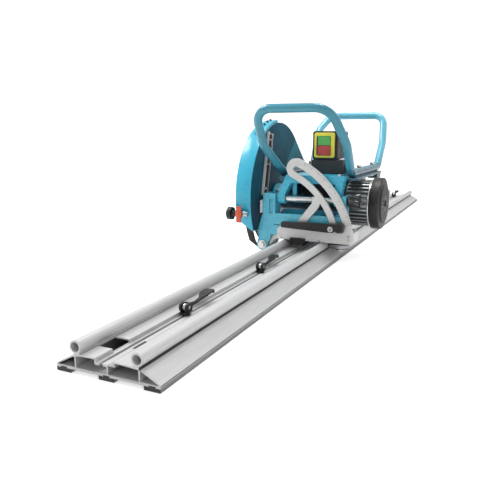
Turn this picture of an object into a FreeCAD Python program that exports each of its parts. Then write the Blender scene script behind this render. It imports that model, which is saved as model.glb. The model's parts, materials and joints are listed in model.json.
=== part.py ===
import FreeCAD, Part
import math
import os
import Sketcher
from FreeCAD import Rotation, Vector

# Rail-guided circular saw whose head tilts about the rail and plunges ("panel saw").
# Frame: origin on the resting face, at the rail's centre line and mid-length,
# +X towards the motor, +Y along the rail away from the operator, +Z up. Millimetres.
# "Front" and "near" are the operator's end (-Y), "left" is the blade's side (-X).

doc = FreeCAD.newDocument("PanelSaw")
sheet = doc.addObject("Spreadsheet::Sheet", "Dims")


# ------------------------------------------------------------------ driving dimensions
class Length:
    """A length that carries its value and its spreadsheet expression."""

    def __init__(self, value, expression=None):
        self.value = float(value)
        self.live = expression is not None  # depends on the spreadsheet
        self.expression = expression or "(%r)" % self.value

    def _combine(self, sign, other, operation):
        other = length(other)
        result = Length(operation(self.value, other.value),
                        "(%s %s %s)" % (self.expression, sign, other.expression))
        result.live = self.live or other.live
        return result

    def __add__(self, other):
        return self._combine("+", other, float.__add__)

    def __sub__(self, other):
        return self._combine("-", other, float.__sub__)

    def __mul__(self, other):
        return self._combine("*", other, float.__mul__)

    def __truediv__(self, other):
        return self._combine("/", other, float.__truediv__)

    def __neg__(self):
        return length(0) - self


def length(value):
    return value if isinstance(value, Length) else Length(value)


row = 0


def dim(alias, value, note):
    """Adds a row to the spreadsheet and returns it as a Length."""
    global row
    row += 1
    sheet.set("A%d" % row, alias)
    sheet.set("B%d" % row, str(value))
    sheet.set("C%d" % row, note)
    sheet.setAlias("B%d" % row, alias)
    return Length(value, "Dims." + alias)


rail_length = dim("rail_length", 2500, "rail length")
rail_width = dim("rail_width", 200, "rail width over the base")
base_z = dim("base_z", 7, "underside of the aluminium profile")
tube_x = dim("tube_x", 59, "guide tube offset")
tube_z = dim("tube_z", 46, "guide tube centre height")
tube_r = dim("tube_r", 11, "guide tube outer radius")
bore_r = dim("bore_r", 8, "guide tube bore radius")
slot_x = dim("slot_x", -9.5, "T-slot centre")
stop_z = dim("stop_z", 44, "cam lever pin height")
stop_near_y = dim("stop_near_y", -1000, "first stop along the rail")
stop_middle_y = dim("stop_middle_y", -640, "second stop")
stop_far_y = dim("stop_far_y", 1148, "far stop")
front_y = dim("front_y", -345, "front face of the tilt plate")
rear_y = dim("rear_y", -95, "rear end of the carriage")
under_z = dim("under_z", 60, "underside of the carriage")
deck_z = dim("deck_z", 94, "top of the front cross-member")
left_x = dim("left_x", -82, "left side of the carriage")
right_x = dim("right_x", 148, "right side of the carriage")
roller_r = dim("roller_r", 15, "track roller running radius")
roller_front_y = dim("roller_front_y", -311, "front roller axle")
roller_rear_y = dim("roller_rear_y", -122, "rear roller axle")
axle_r = dim("axle_r", 4, "roller axle radius")
guide_r = dim("guide_r", 31.95, "side roller radius")
guide_x = dim("guide_x", 102, "side roller centre")
pivot_x = dim("pivot_x", -134, "tilt pivot")
pivot_z = dim("pivot_z", 35, "tilt pivot height")
pivot_r = dim("pivot_r", 7, "tilt pivot bolt radius")
quadrant_outer = dim("quadrant_outer", 289, "quadrant outer radius")
quadrant_inner = dim("quadrant_inner", 230, "quadrant inner radius")
slot_inner = dim("slot_inner", 248, "quadrant slot inner radius")
slot_outer = dim("slot_outer", 266, "quadrant slot outer radius")
quadrant_thick = dim("quadrant_thick", 8, "quadrant thickness")
lock_x = dim("lock_x", 112.5, "tilt lock bolt")
lock_z = dim("lock_z", 107.6, "tilt lock bolt height")
rod_y = dim("rod_y", -320, "plunge rod")
rod_z = dim("rod_z", 178, "plunge rod height")
rod_r = dim("rod_r", 10, "plunge rod radius")
spindle_y = dim("spindle_y", -190, "saw spindle")
spindle_z = dim("spindle_z", 161, "saw spindle height")
blade_r = dim("blade_r", 150, "blade radius")
blade_x = dim("blade_x", -175, "blade plane")
blade_thick = dim("blade_thick", 2.6, "blade thickness")
shaft_r = dim("shaft_r", 12.5, "spindle radius")
tail_r = dim("tail_r", 10, "spindle tail radius")
housing_r = dim("housing_r", 34, "spindle tube outer radius")
bearing_r = dim("bearing_r", 26, "bearing outer radius")
guard_inner = dim("guard_inner", -150, "inner face of the guard")
guard_outer = dim("guard_outer", -200, "outer face of the guard")
guard_y = dim("guard_y", -169.5, "guard arc centre")
guard_z = dim("guard_z", 175.7, "guard arc centre height")
guard_r = dim("guard_r", 228, "guard outer radius")
skin = dim("skin", 2.5, "guard sheet thickness")
motor_start = dim("motor_start", 100, "motor housing start")
motor_end = dim("motor_end", 164, "motor housing end")
fin_r = dim("fin_r", 71, "motor radius over the fins")
core_r = dim("core_r", 62, "motor housing radius")
cover_r = dim("cover_r", 78, "fan cover radius")
cover_end = dim("cover_end", 205, "fan cover outer face")
handle_r = dim("handle_r", 12.5, "handle tube radius")
handle_z = dim("handle_z", 256, "handle base tubes height")
near_bar_z = dim("near_bar_z", 438, "near handle bar height")
far_bar_z = dim("far_bar_z", 431, "far handle bar height")
switch_x = dim("switch_x", -10, "switch box left side")
switch_width = dim("switch_width", 77, "switch box width")
switch_y = dim("switch_y", -250, "switch box front")
switch_depth = dim("switch_depth", 122, "switch box depth")
switch_z = dim("switch_z", 291, "switch box bottom")
switch_height = dim("switch_height", 85.6, "switch box height")
tap_y = dim("tap_y", -412, "tap axis")
tap_z = dim("tap_z", 136, "tap axis height")
doc.recompute()

# Axes as the two coordinates across them: (y, z) along X, (x, z) along Y, (x, y) along Z.
pivot = (pivot_x, pivot_z)
lock = (lock_x, lock_z)
rod = (rod_y, rod_z)
spindle = (spindle_y, spindle_z)
tap = (tap_y, tap_z)
guide = (guide_x, roller_front_y)
guard_centre = (guard_y, guard_z)

# ------------------------------------------------------------------ solids and booleans
TURN_Z_TO = {"X": Rotation(Vector(0, 1, 0), 90), "Y": Rotation(Vector(1, 0, 0), -90),
             "Z": Rotation()}
pieces = {}


def piece(name, obj):
    """Labels a finished piece and books it for export."""
    obj.Label = name
    pieces[name] = obj


def drive(obj, path, size):
    if size.live:
        obj.setExpression(path, size.expression)


def bind(obj, prop, size):
    size = length(size)
    setattr(obj, prop, size.value)
    obj.setExpression(prop, size.expression)


def place(obj, x, y, z, rotation=None):
    base = [length(c) for c in (x, y, z)]
    obj.Placement = FreeCAD.Placement(Vector(*[c.value for c in base]), rotation or Rotation())
    for axis, c in zip("xyz", base):
        drive(obj, "Placement.Base." + axis, c)


def about_x(degrees):
    return Rotation(Vector(1, 0, 0), degrees)


def primitive(kind, **sizes):
    obj = doc.addObject("Part::" + kind, kind)
    for prop, size in sizes.items():
        bind(obj, prop, size)
    return obj


def box(x0, x1, y0, y1, z0, z1):
    obj = primitive("Box", Length=length(x1) - x0, Width=length(y1) - y0,
                    Height=length(z1) - z0)
    place(obj, x0, y0, z0)
    return obj


def stand(obj, axis, u, v, start):
    """Turns obj onto an axis at (u, v), beginning at start."""
    at = {"X": (start, u, v), "Y": (u, start, v), "Z": (u, v, start)}[axis]
    place(obj, *at, TURN_Z_TO[axis])
    return obj


def cylinder(axis, u, v, radius, lo, hi):
    return stand(primitive("Cylinder", Radius=radius, Height=length(hi) - lo), axis, u, v, lo)


def cone(axis, u, v, radius_lo, radius_hi, lo, hi):
    obj = primitive("Cone", Radius1=radius_lo, Radius2=radius_hi, Height=length(hi) - lo)
    return stand(obj, axis, u, v, lo)


def fuse(*objs):
    if len(objs) == 1:
        return objs[0]
    obj = doc.addObject("Part::MultiFuse", "Fuse")
    obj.Shapes = list(objs)
    return obj


def cut(base, *tools):
    obj = doc.addObject("Part::Cut", "Cut")
    obj.Base = base
    obj.Tool = fuse(*tools)
    return obj


def ring(axis, u, v, outer_r, inner_r, lo, hi):
    return cut(cylinder(axis, u, v, outer_r, lo, hi),
               cylinder(axis, u, v, inner_r, length(lo) - 1, length(hi) + 1))


def group(*objs):
    obj = doc.addObject("Part::Compound", "Group")
    obj.Links = list(objs)
    return obj


def sweep(path, radius, centre, direction):
    """Solid of round section along path, which starts at centre."""
    section = Part.Wire(Part.makeCircle(radius, centre, direction))
    return path.makePipeShell([section], True, False)


def feature(shape):
    obj = doc.addObject("Part::Feature", "Sweep")
    obj.Shape = shape
    return obj


# ------------------------------------------------------------------ outlines
# A loop is a circle, or a list of points and ("arc", middle, end) entries.
def circle(x, y, radius):
    return ("circle", length(x), length(y), length(radius))


def rect(x0, x1, y0, y1):
    return [(x0, y0), (x1, y0), (x1, y1), (x0, y1)]


def on_circle(x, y, radius, degrees):
    angle = math.radians(degrees)
    return (length(x) + length(radius) * math.cos(angle),
            length(y) + length(radius) * math.sin(angle))


def hexagon(x, y, radius, turn=30):
    return [on_circle(x, y, radius, 60 * i + turn) for i in range(6)]


def sector(x, y, inner, outer, start, end):
    middle = (start + end) / 2
    return [on_circle(x, y, inner, start), on_circle(x, y, outer, start),
            ("arc", on_circle(x, y, outer, middle), on_circle(x, y, outer, end)),
            on_circle(x, y, inner, end),
            ("arc", on_circle(x, y, inner, middle), on_circle(x, y, inner, start))]


def constrain(sketch, size, *spec):
    index = sketch.addConstraint(Sketcher.Constraint(*spec, size.value))
    drive(sketch, "Constraints[%d]" % index, size)


def flat(point):
    return Vector(length(point[0]).value, length(point[1]).value, 0)


def draw_circle(sketch, x, y, radius):
    index = sketch.addGeometry(Part.Circle(flat((x, y)), Vector(0, 0, 1), radius.value), False)
    constrain(sketch, x, "DistanceX", -1, 1, index, 3)
    constrain(sketch, y, "DistanceY", -1, 1, index, 3)
    constrain(sketch, radius, "Radius", index)


def draw_points(sketch, points):
    edges = []
    here = flat(points[0])
    for step in points[1:] + points[:1]:
        if step[0] == "arc":
            end = flat(step[2])
            edges.append(Part.Arc(here, flat(step[1]), end))
        else:
            end = flat(step)
            if (end - here).Length < 1e-9:
                continue
            edges.append(Part.LineSegment(here, end))
        here = end
    first = sketch.GeometryCount
    for edge in edges:
        sketch.addGeometry(edge, False)
    if not all(isinstance(edge, Part.LineSegment) for edge in edges):
        return
    count = len(edges)
    for i in range(count):
        sketch.addConstraint(
            Sketcher.Constraint("Coincident", first + i, 2, first + (i + 1) % count, 1))
    for i, (x, y) in enumerate(points):
        for kind, size in (("DistanceX", length(x)), ("DistanceY", length(y))):
            if size.live:
                constrain(sketch, size, kind, -1, 1, first + i, 1)


# ------------------------------------------------------------------ bodies
def new_body():
    return doc.addObject("PartDesign::Body", "Body")


def origin(body, role):
    return next(f for f in body.Origin.OriginFeatures if f.Role == role)


def add_sketch(body, plane, loops, offset):
    sketch = body.newObject("Sketcher::SketchObject", "Sketch")
    sketch.AttachmentSupport = [(origin(body, plane + "_Plane"), "")]
    sketch.MapMode = "FlatFace"
    offset = length(offset)
    sketch.AttachmentOffset = FreeCAD.Placement(Vector(0, 0, offset.value), Rotation())
    drive(sketch, "AttachmentOffset.Base.z", offset)
    for loop in loops:
        if loop[0] == "circle":
            draw_circle(sketch, *loop[1:])
        else:
            draw_points(sketch, loop)
    return sketch


def pad(body, plane, lo, hi, *loops):
    """Pads loops between lo and hi on the axis normal to plane (XZ faces -Y)."""
    lo, hi = length(lo), length(hi)
    sketch = add_sketch(body, plane, loops, -hi if plane == "XZ" else lo)
    result = body.newObject("PartDesign::Pad", "Pad")
    result.Profile = sketch
    bind(result, "Length", hi - lo)
    return result


def pocket(body, plane, lo, hi, *loops):
    """Removes loops between lo and hi on the axis normal to plane."""
    lo, hi = length(lo), length(hi)
    sketch = add_sketch(body, plane, loops, -lo if plane == "XZ" else hi)
    doc.recompute()
    limit = body.Shape.Volume - 1e-6
    result = body.newObject("PartDesign::Pocket", "Pocket")
    result.Profile = sketch
    bind(result, "Length", hi - lo)
    doc.recompute()
    # guards against a pocket that runs away from the solid
    if not body.Shape.Volume < limit:
        result.Reversed = True
        doc.recompute()
    assert body.Shape.Volume < limit, "pocket cuts nothing: " + result.Name
    return result


def repeat_about_x(body, original, count):
    pattern = body.newObject("PartDesign::PolarPattern", "Polar")
    pattern.Originals = [original]
    pattern.Axis = (origin(body, "X_Axis"), [""])
    pattern.Angle = 360
    pattern.Occurrences = count
    body.Tip = pattern


def prism(plane, lo, hi, *loops):
    body = new_body()
    pad(body, plane, lo, hi, *loops)
    return body


# ------------------------------------------------------------------ rail
half_width = rail_width / 2
whole_rail = (-rail_length / 2, rail_length / 2)

# (x, z) round the section, along the underside first, then back over the top and T-slot
rail_outline = [
    (-half_width, base_z), (-90, base_z), (-91.5, 9.5), (-77.5, 9.5), (-79, base_z),
    (-5.5, base_z), (-7, 9.5), (7, 9.5), (5.5, base_z),
    (79, base_z), (77.5, 9.5), (91.5, 9.5), (90, base_z), (half_width, base_z),
    (half_width, 8.6), (half_width - 1, 9.2), (half_width - 1, 10.4), (half_width, 11),
    (half_width, 13), (62.5, 32.8), (55, 33.2), (36, 34.2), (15, 35), (15, 28), (-6.2, 28),
    (-6.2, 24), (1.5, 24), (1.5, 11.8), (-59, 11.8), (-59, 30), (-53, 30.6), (-50, 32.1),
    (-21.5, 32.1), (-21.5, 24), (-12.8, 24), (-12.8, 28), (-19.5, 28), (-19.5, 34.5),
    (-51, 34.5), (-55, 33.2), (-62.5, 32.8), (-half_width, 13),
    (-half_width, 11), (-half_width + 1, 10.4), (-half_width + 1, 9.2), (-half_width, 8.6),
]
rail_chambers = [
    [(-95.5, 11.8), (-61.5, 11.8), (-61.5, 29), (-65, 29), (-95.5, 12.9)],
    [(4, 11.8), (60.5, 11.8), (60.5, 30), (53, 30.5), (36, 31.7), (17.5, 32.4), (17.5, 25.6),
     (4, 25.6)],
    [(95.5, 11.8), (95.5, 12.9), (65, 29), (63, 29), (63, 11.8)],
]
rail = new_body()
pad(rail, "XZ", *whole_rail, rail_outline, *rail_chambers)
# webs that carry the guide tubes
pad(rail, "XZ", *whole_rail, rect(-tube_x - 4, -tube_x + 8, 31.5, 38.4))
pad(rail, "XZ", *whole_rail, rect(tube_x - 6, tube_x + 3, 31.5, 37))
for side in (-1, 1):
    pad(rail, "XZ", *whole_rail, circle(tube_x * side, tube_z, tube_r))
for side in (-1, 1):
    pocket(rail, "XZ", whole_rail[0] - 1, whole_rail[1] + 1,
           circle(tube_x * side, tube_z, bore_r))
# openings in the top wall and in the T-slot lip, near the front end
opening_y = whole_rail[0] + 42
pocket(rail, "XY", 29, 36, rect(-50, -18.5, opening_y, opening_y + 44))
pocket(rail, "XY", 22, 29, rect(-2, 4.6, opening_y + 27, opening_y + 62))
piece("rail_extrusion", rail)


def rubber_strip(x):
    """Ribbed strip centred on x, keyed into a dovetail groove under the rail."""
    x = length(x)
    half, groove, sole_z = 15.5, 14.6, 1.1
    left = [(-half, 4.8), (-groove, 4.3), (-groove, 3.1), (-half, 2.6), (-half, sole_z)]
    outline = [(x - half, base_z)] + [(x + u, z) for u, z in left]
    for i in range(-3, 4):
        rib = x + 4.2 * i
        outline += [(rib - 1.5, sole_z), (rib - 1.1, 0), (rib + 1.1, 0), (rib + 1.5, sole_z)]
    outline += [(x - u, z) for u, z in reversed(left)]
    outline += [(x + half, base_z), (x + 5.4, base_z), (x + 6.8, 9.4), (x - 6.8, 9.4),
                (x - 5.4, base_z)]
    return prism("XZ", *whole_rail, outline)


piece("rubber_strips", group(*[rubber_strip(x) for x in (-84.5, 0, 84.5)]))

# ------------------------------------------------------------------ cam stops in the T-slot
# side view of the lever, (y from the pin, z)
LEVER_SIDE = [
    (4, 53.1), (12, 50.6), (22, 47.2), (38, 45.6), (56, 48), (74, 53.2), (90, 55.2),
    (100, 54.4), (106, 51), (106, 46.6), (102.5, 45), (98, 48.6), (89, 50.6), (74, 48.8),
    (56, 43.6), (38, 41.2), (24, 41.4), (14, 37), (4, 35.2),
]
# waste beside the waisted lever in plan, (x from the slot, y from the pin)
LEVER_WASTE = [(13.5, -2), (9.5, -2), (9.5, 9), (3.4, 17), (3.2, 54), (6.5, 62), (9.8, 70),
               (10.6, 84), (10, 96), (6, 107), (13.5, 107)]
PIN_R = 3.95


def cross(y, radius, reach):
    """Cylinder across the slot at the pin's height."""
    return cylinder("X", y, stop_z, radius, slot_x - reach, slot_x + reach)


def stop_stud(y):
    return cut(fuse(box(slot_x - 10, slot_x + 10, y - 10, y + 10, 18, 23.9),
                    cylinder("Z", slot_x, y, 3, 22, stop_z - 5), cross(y, 7.6, 3.6)),
               cross(y, PIN_R + 0.05, 6))


def cam_lever(y):
    arm = prism("YZ", slot_x - 12.5, slot_x + 12.5, [(y + v, z) for v, z in LEVER_SIDE])
    waste = [prism("XY", 28, 62, [(slot_x + side * u, y + v) for u, v in LEVER_WASTE])
             for side in (1, -1)]
    return cut(fuse(cross(y, 9.95, 9.5), cut(arm, *waste)),
               box(slot_x - 4.1, slot_x + 4.1, y - 12, y + 8.4, 28, 62),
               cross(y, PIN_R + 0.1, 14))


stops = {"near": stop_near_y, "middle": stop_middle_y, "far": stop_far_y}
for where, y in stops.items():
    piece("cam_lever_" + where, cam_lever(y))
piece("stop_studs", group(*[stop_stud(y) for y in stops.values()]))
piece("stop_seats", group(*[ring("Z", slot_x, y, 8.5, 3.2, 28, 34) for y in stops.values()]))
piece("stop_pins", group(*[cross(y, PIN_R, 9) for y in stops.values()]))

# ------------------------------------------------------------------ carriage
axle_z = tube_z + tube_r + roller_r + 0.05
axles_y = (roller_front_y, roller_rear_y)
# screws that hold the quadrant to the carriage, (x, z)
quadrant_screws = ((-70, under_z + 2.4), (50, under_z + 2.4), (138, 70), (138, 82))

base = new_body()
# front and rear cross-members
pad(base, "XZ", front_y + 9, front_y + 59,
    [(left_x, under_z), (right_x, under_z), (right_x, deck_z - 6), (right_x - 6, deck_z),
     (left_x + 6, deck_z), (left_x, deck_z - 6)])
pad(base, "XZ", rear_y - 55, rear_y,
    [(left_x, under_z), (88, under_z), (88, deck_z - 8), (84, deck_z - 4),
     (left_x + 5, deck_z - 4), (left_x, deck_z - 9)])
# side members
for x0, x1 in ((left_x, left_x + 34), (48, 88)):
    pad(base, "XY", under_z, under_z + 8, rect(x0, x1, front_y + 50, rear_y - 40))
# ledge and right-hand block behind the quadrant
pad(base, "XY", under_z - 1, under_z + 5.5, rect(left_x + 2, right_x, front_y - 1, front_y + 12))
pad(base, "XY", under_z, deck_z - 6, rect(right_x - 20, right_x, front_y - 1, front_y + 12))
# arm and boss for the tilt pivot
boss_y = (front_y + 10, front_y + 83)
pad(base, "XZ", *boss_y,
    [(left_x + 1, under_z), (left_x + 1, under_z + 16), (-118, 55), (-122, 24), (-117, 32),
     (-88, under_z)])
pad(base, "XZ", *boss_y, circle(*pivot, 16))
pocket(base, "XZ", front_y, front_y + 100, circle(*pivot, pivot_r))
# roller wells and axle bores
for y in axles_y:
    for side in (-1, 1):
        pocket(base, "XY", under_z - 2, deck_z - 3.4,
               rect(tube_x * side - 12.6, tube_x * side + 12.6, y - 19, y + 19))
    pocket(base, "YZ", left_x - 1, 80, circle(y, axle_z, axle_r))
# notch for the bumper, bore for the guide roller bolt, screw holes
pocket(base, "XY", under_z - 2, under_z + 6, rect(-40, 8, front_y - 3, front_y + 9))
pocket(base, "XY", under_z - 2, under_z + 26, circle(*guide, 5))
pocket(base, "XZ", front_y - 2, front_y + 9, *[circle(x, z, 2) for x, z in quadrant_screws])
piece("carriage_base", base)

# tilt quadrant: foot plate, slotted arc about the tilt pivot and a brace
ARC_START, SLOT_START, ARC_END = 6.6, 14.2, 65.0  # degrees about the pivot
plate_y = (front_y - 1 - quadrant_thick, front_y - 1)
through_plate = (plate_y[0] - 1, plate_y[1] + 1)
quadrant = new_body()
pad(quadrant, "XZ", *plate_y,
    [(left_x, under_z - 1), (right_x, under_z - 2), (right_x, 97), (left_x + 8, 97),
     (left_x, 88)])
pad(quadrant, "XZ", *plate_y,
    sector(*pivot, quadrant_inner, quadrant_outer, ARC_START, ARC_END))
tip = on_circle(*pivot, (quadrant_outer + quadrant_inner) / 2, ARC_END)
pad(quadrant, "XZ", *plate_y, circle(*tip, (quadrant_outer - quadrant_inner) / 2))
pad(quadrant, "XZ", *plate_y,
    [(-36, 92), (-8, 92), (46, 160), (56, 190), (28, 190), (26, 172)])
pocket(quadrant, "XZ", *through_plate,
       sector(*pivot, slot_inner, slot_outer, SLOT_START, ARC_END))
for angle in (SLOT_START, ARC_END):
    slot_end = on_circle(*pivot, (slot_inner + slot_outer) / 2, angle)
    pocket(quadrant, "XZ", *through_plate, circle(*slot_end, (slot_outer - slot_inner) / 2))
pocket(quadrant, "XZ", *through_plate, rect(-40, 8, under_z - 4, under_z + 6))
pocket(quadrant, "XZ", *through_plate, *[circle(x, z, 2.2) for x, z in quadrant_screws])
# shallow rectangle and crescent in the front face
pocket(quadrant, "XZ", plate_y[0] - 1, plate_y[0] + 0.5, rect(-72, -49, 70, 85))
pocket(quadrant, "XZ", plate_y[0] - 1, plate_y[0] + 0.6,
       [(-14, 66), ("arc", (16, 83), (52, 88)), ("arc", (22, 70), (-14, 66))])
piece("tilt_quadrant", quadrant)


def quadrant_screw(x, z):
    head_y = plate_y[0]
    return cut(fuse(cylinder("Y", x, z, 3.6, head_y - 3.5, head_y),
                    cylinder("Y", x, z, 2, head_y - 1, plate_y[1] + 8)),
               cylinder("Y", x, z, 1.5, head_y - 5, head_y - 1.5))


piece("quadrant_screws", group(*[quadrant_screw(x, z) for x, z in quadrant_screws]))
piece("rail_bumper", fuse(box(-38, 6, front_y - 17, front_y + 8, tube_z, under_z + 5.5),
                          box(-38, 6, front_y - 2, front_y + 40, tube_z, under_z - 1)))
# bolt with its washer, head and nut
piece("tilt_pivot_bolt", fuse(
    cylinder("Y", *pivot, pivot_r, front_y - 6, front_y + 106),
    cylinder("Y", *pivot, 13.5, front_y - 3.5, front_y - 0.5),
    prism("XZ", front_y - 10, front_y - 3, hexagon(*pivot, 9.5)),
    prism("XZ", front_y + 95.5, front_y + 104, hexagon(*pivot, 10.5))))


# rollers: the track rollers are grooved to ride on the tubes, the guide roller lies flat
def track_roller(x, y):
    groove = primitive("Torus", Radius1=axle_z - tube_z, Radius2=tube_r + 0.05)
    place(groove, x, y, axle_z, TURN_Z_TO["X"])
    return cut(cylinder("X", y, axle_z, 17.5, x - 12, x + 12), groove,
               cylinder("X", y, axle_z, axle_r + 0.05, x - 14, x + 14))


piece("roller_axles", group(*[cylinder("X", y, axle_z, axle_r, left_x, 79) for y in axles_y]))
for end, y in (("front", roller_front_y), ("rear", roller_rear_y)):
    piece("track_rollers_" + end, group(track_roller(-tube_x, y), track_roller(tube_x, y)))
piece("guide_roller_bolt", fuse(cylinder("Z", *guide, 5, 33, under_z + 24),
                                cylinder("Z", *guide, 11, 29, 36.5)))
piece("guide_roller", cut(
    fuse(cylinder("Z", *guide, guide_r, 41, 51),
         cone("Z", *guide, guide_r - 4, guide_r, 37, 41),
         cone("Z", *guide, guide_r, guide_r - 4, 51, 55)),
    cylinder("Z", *guide, 5.05, 30, 60)))

# ------------------------------------------------------------------ tilt frame
face_y = (front_y, front_y + 8)
back_lug_y = (front_y + 85, front_y + 95)
frame = new_body()
# front plate with its pivot eye
pad(frame, "XZ", *face_y,
    [(-147, 60), (-148, 84), (-143, 102), (-136, 124), (-130, 134.5), (112, 134.5),
     (121, 126), (124, 108), (124, 68), (-108, 68), (-108, 54), (-116, 44), (-116, 36),
     (-151, 42)])
pad(frame, "XZ", *face_y, circle(*pivot, 18))
# left and right posts for the plunge rod
pad(frame, "XZ", front_y, front_y + 40,
    [(-132, 128), (-93, 128), (-93, 190), (-97, 194), (-128, 194), (-132, 190)])
pad(frame, "XZ", front_y + 5, front_y + 42,
    [(107, 120), (123, 120), (123, rod_z + 12), (119, rod_z + 16), (111, rod_z + 16),
     (107, rod_z + 12)])
# left beam, rear pivot lug and its eye
pad(frame, "XY", 75, 92, rect(-116, -90, front_y + 4, front_y + 95))
pad(frame, "XZ", *back_lug_y,
    [(-116, 92), (-90, 92), (-90, 75), (-112, 52), (-122, 25), (-150, 38), (-146, 48)])
pad(frame, "XZ", *back_lug_y, circle(*pivot, 16))
# rear wall and right-hand rib
pad(frame, "XZ", front_y + 83, front_y + 89,
    [(-96, 78), (86, 78), (86, 138), (-88, 138), (-96, 130)])
pad(frame, "XY", 98, 134, rect(76, 86, front_y + 4, front_y + 86))
# bores for the pivot bushes, plunge rod and lock bolt
pocket(frame, "XZ", front_y - 1, front_y + 100, circle(*pivot, 9))
pocket(frame, "YZ", -133, -92, circle(*rod, rod_r))
pocket(frame, "YZ", 106, 124, circle(*rod, rod_r))
pocket(frame, "XZ", front_y - 1, front_y + 9, circle(*lock, 6))
# recess in the left post, narrow slit in the plate
pocket(frame, "XZ", front_y - 1, front_y + 5, rect(-112, -100, 133, 176))
pocket(frame, "XZ", front_y - 1, front_y + 9, rect(-95, -78, 98, 101))
piece("tilt_frame", frame)

piece("tilt_bushes", group(*[ring("Y", *pivot, 9, pivot_r + 0.05, *span)
                             for span in (face_y, back_lug_y)]))
piece("plunge_rod", fuse(cylinder("X", *rod, rod_r, -132, 123),
                         cylinder("X", *rod, 6, 120, 151.9)))
piece("clamp_plate", cut(
    box(-139.5, -132, front_y - 7, front_y + 32, 134, 172),
    *[cylinder("X", front_y + 12, z, 3, -141, -130) for z in (142, 162)]))
piece("tilt_lock_bolt", fuse(
    cylinder("Y", *lock, 6, front_y - 26.8, front_y + 14),
    cylinder("Y", *lock, 8.6, plate_y[0], plate_y[1] + 0.9),
    prism("XZ", front_y + 8, front_y + 15, hexagon(*lock, 10))))

# return spring, coiled round the plunge rod
COIL_R, WIRE_R, COIL_PITCH, COIL_LENGTH = 13.5, 1.6, 4.4, 22
coil = Part.Wire(Part.makeHelix(COIL_PITCH, COIL_LENGTH, COIL_R).Edges)
spring = feature(sweep(coil, WIRE_R, Vector(COIL_R, 0, 0), Vector(0, 1, 0)))
place(spring, 18, *rod, TURN_Z_TO["X"])
piece("return_spring", spring)

# tilt lock lever and the screw in its hub
lever_screw = (90, 103)
lever_bar = prism("XZ", front_y - 30, front_y - 17,
                  [(-62, 101), (-62, 112), (-58, 115), (70, 118), (96, 118), (104, 114),
                   (104, 98), (96, 93), (80, 92), (-58, 98)])
lever = cut(fuse(lever_bar, cylinder("Y", *lock, 14.5, front_y - 30, plate_y[0] - 1),
                 cone("Y", *lock, 13, 14.5, front_y - 33, front_y - 30)),
            cylinder("Y", *lock, 6.05, front_y - 26.9, front_y))
piece("tilt_lock_lever", cut(lever, cylinder("Y", *lever_screw, 4, front_y - 32, front_y - 20)))
piece("lever_screw", cut(
    fuse(cylinder("Y", *lever_screw, 4, front_y - 30, front_y - 20),
         cylinder("Y", *lever_screw, 8, front_y - 34.5, front_y - 30)),
    prism("XZ", front_y - 36, front_y - 31.5, hexagon(*lever_screw, 3.6))))

# lobed knob on the right end of the plunge rod
knob = new_body()
pad(knob, "YZ", 0, 30, circle(0, 0, 17))
lobe = pad(knob, "YZ", 4, 30, circle(18, 0, 6.5))
repeat_about_x(knob, lobe, 6)
place(knob, 128, *rod)
piece("plunge_lock_knob", cut(fuse(knob, cylinder("X", *rod, 13, 123.5, 130)),
                              cylinder("X", *rod, 6.05, 120, 152)))

# ------------------------------------------------------------------ saw head
arm_spans = ((-91, -66), (84, 105))  # x of the two arms on the plunge rod
rib_spans = ((-50, -38), (80, 92))  # x of the two ribs over the spindle housing
bush_r = rod_r + 2
bridge = new_body()
# yoke over the plunge rod
pad(bridge, "XZ", front_y + 10, front_y + 40,
    [(-62, 250), (116, 250), (106, 200), (105, rod_z - 8), (84, rod_z - 8), (84, 200),
     (89, 226), (-48, 226), (-66, 192), (-66, rod_z - 8), (-91, rod_z - 8), (-91, 186)])
for span in arm_spans:
    pad(bridge, "YZ", *span, circle(*rod, 16))
# ribs running back, top plate, then the saddle over the spindle housing
for span in rib_spans:
    pad(bridge, "XY", 186, 246, rect(*span, front_y + 35, spindle_y - 20))
pad(bridge, "XY", 243, 250, rect(-50, 92, front_y + 35, spindle_y + 20))
for span in rib_spans:
    pad(bridge, "XZ", spindle_y - 24, spindle_y + 20, rect(*span, 180, 246))
pad(bridge, "XZ", spindle_y - 24, spindle_y - 20, rect(-40, 82, 198, 246))
pocket(bridge, "YZ", -51, 93, circle(*spindle, housing_r))
pocket(bridge, "YZ", -92, -65, circle(*rod, bush_r))
pocket(bridge, "YZ", 83, 107, circle(*rod, bush_r))
piece("head_bridge", bridge)
piece("plunge_bushes", group(*[ring("X", *rod, bush_r, rod_r + 0.05, *span)
                               for span in arm_spans]))

# spindle housing with a flange at each end
housing = new_body()
pad(housing, "YZ", guard_inner, 93, circle(*spindle, housing_r))
pad(housing, "YZ", guard_inner, guard_inner + 12, circle(*spindle, 48))
pad(housing, "YZ", 92, 100, circle(*spindle, 66))
pocket(housing, "YZ", guard_inner - 1, 86, circle(*spindle, bearing_r))
pocket(housing, "YZ", 85, 101, circle(*spindle, 15))
piece("spindle_housing", housing)

# finned motor housing with a block on top for the handle bracket
motor = new_body()
pad(motor, "YZ", motor_start, motor_end, circle(0, 0, core_r), circle(0, 0, 52))
fin = pad(motor, "YZ", motor_start, motor_end,
          [(58, -2.9), (fin_r, -2.1), (fin_r, 2.1), (58, 2.9)])
repeat_about_x(motor, fin, 32)
place(motor, 0, *spindle)
piece("motor_housing", cut(
    fuse(motor, box(107, 137, spindle_y - 22, spindle_y + 22, spindle_z + 58, 237)),
    cylinder("Z", 122, -196, 7.5, 226, 240)))
piece("stator_core", ring("X", *spindle, 52, 36.5, 112, 150))
piece("stator_windings", group(*[ring("X", *spindle, 49, 38, *span)
                                 for span in ((101, 112), (150, 161))]))
piece("end_shield", cut(
    fuse(cylinder("X", *spindle, 72, motor_end, motor_end + 5),
         cone("X", *spindle, 72, 66, motor_end + 5, motor_end + 7)),
    cylinder("X", *spindle, 20, motor_end - 1, motor_end + 9)))

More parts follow.
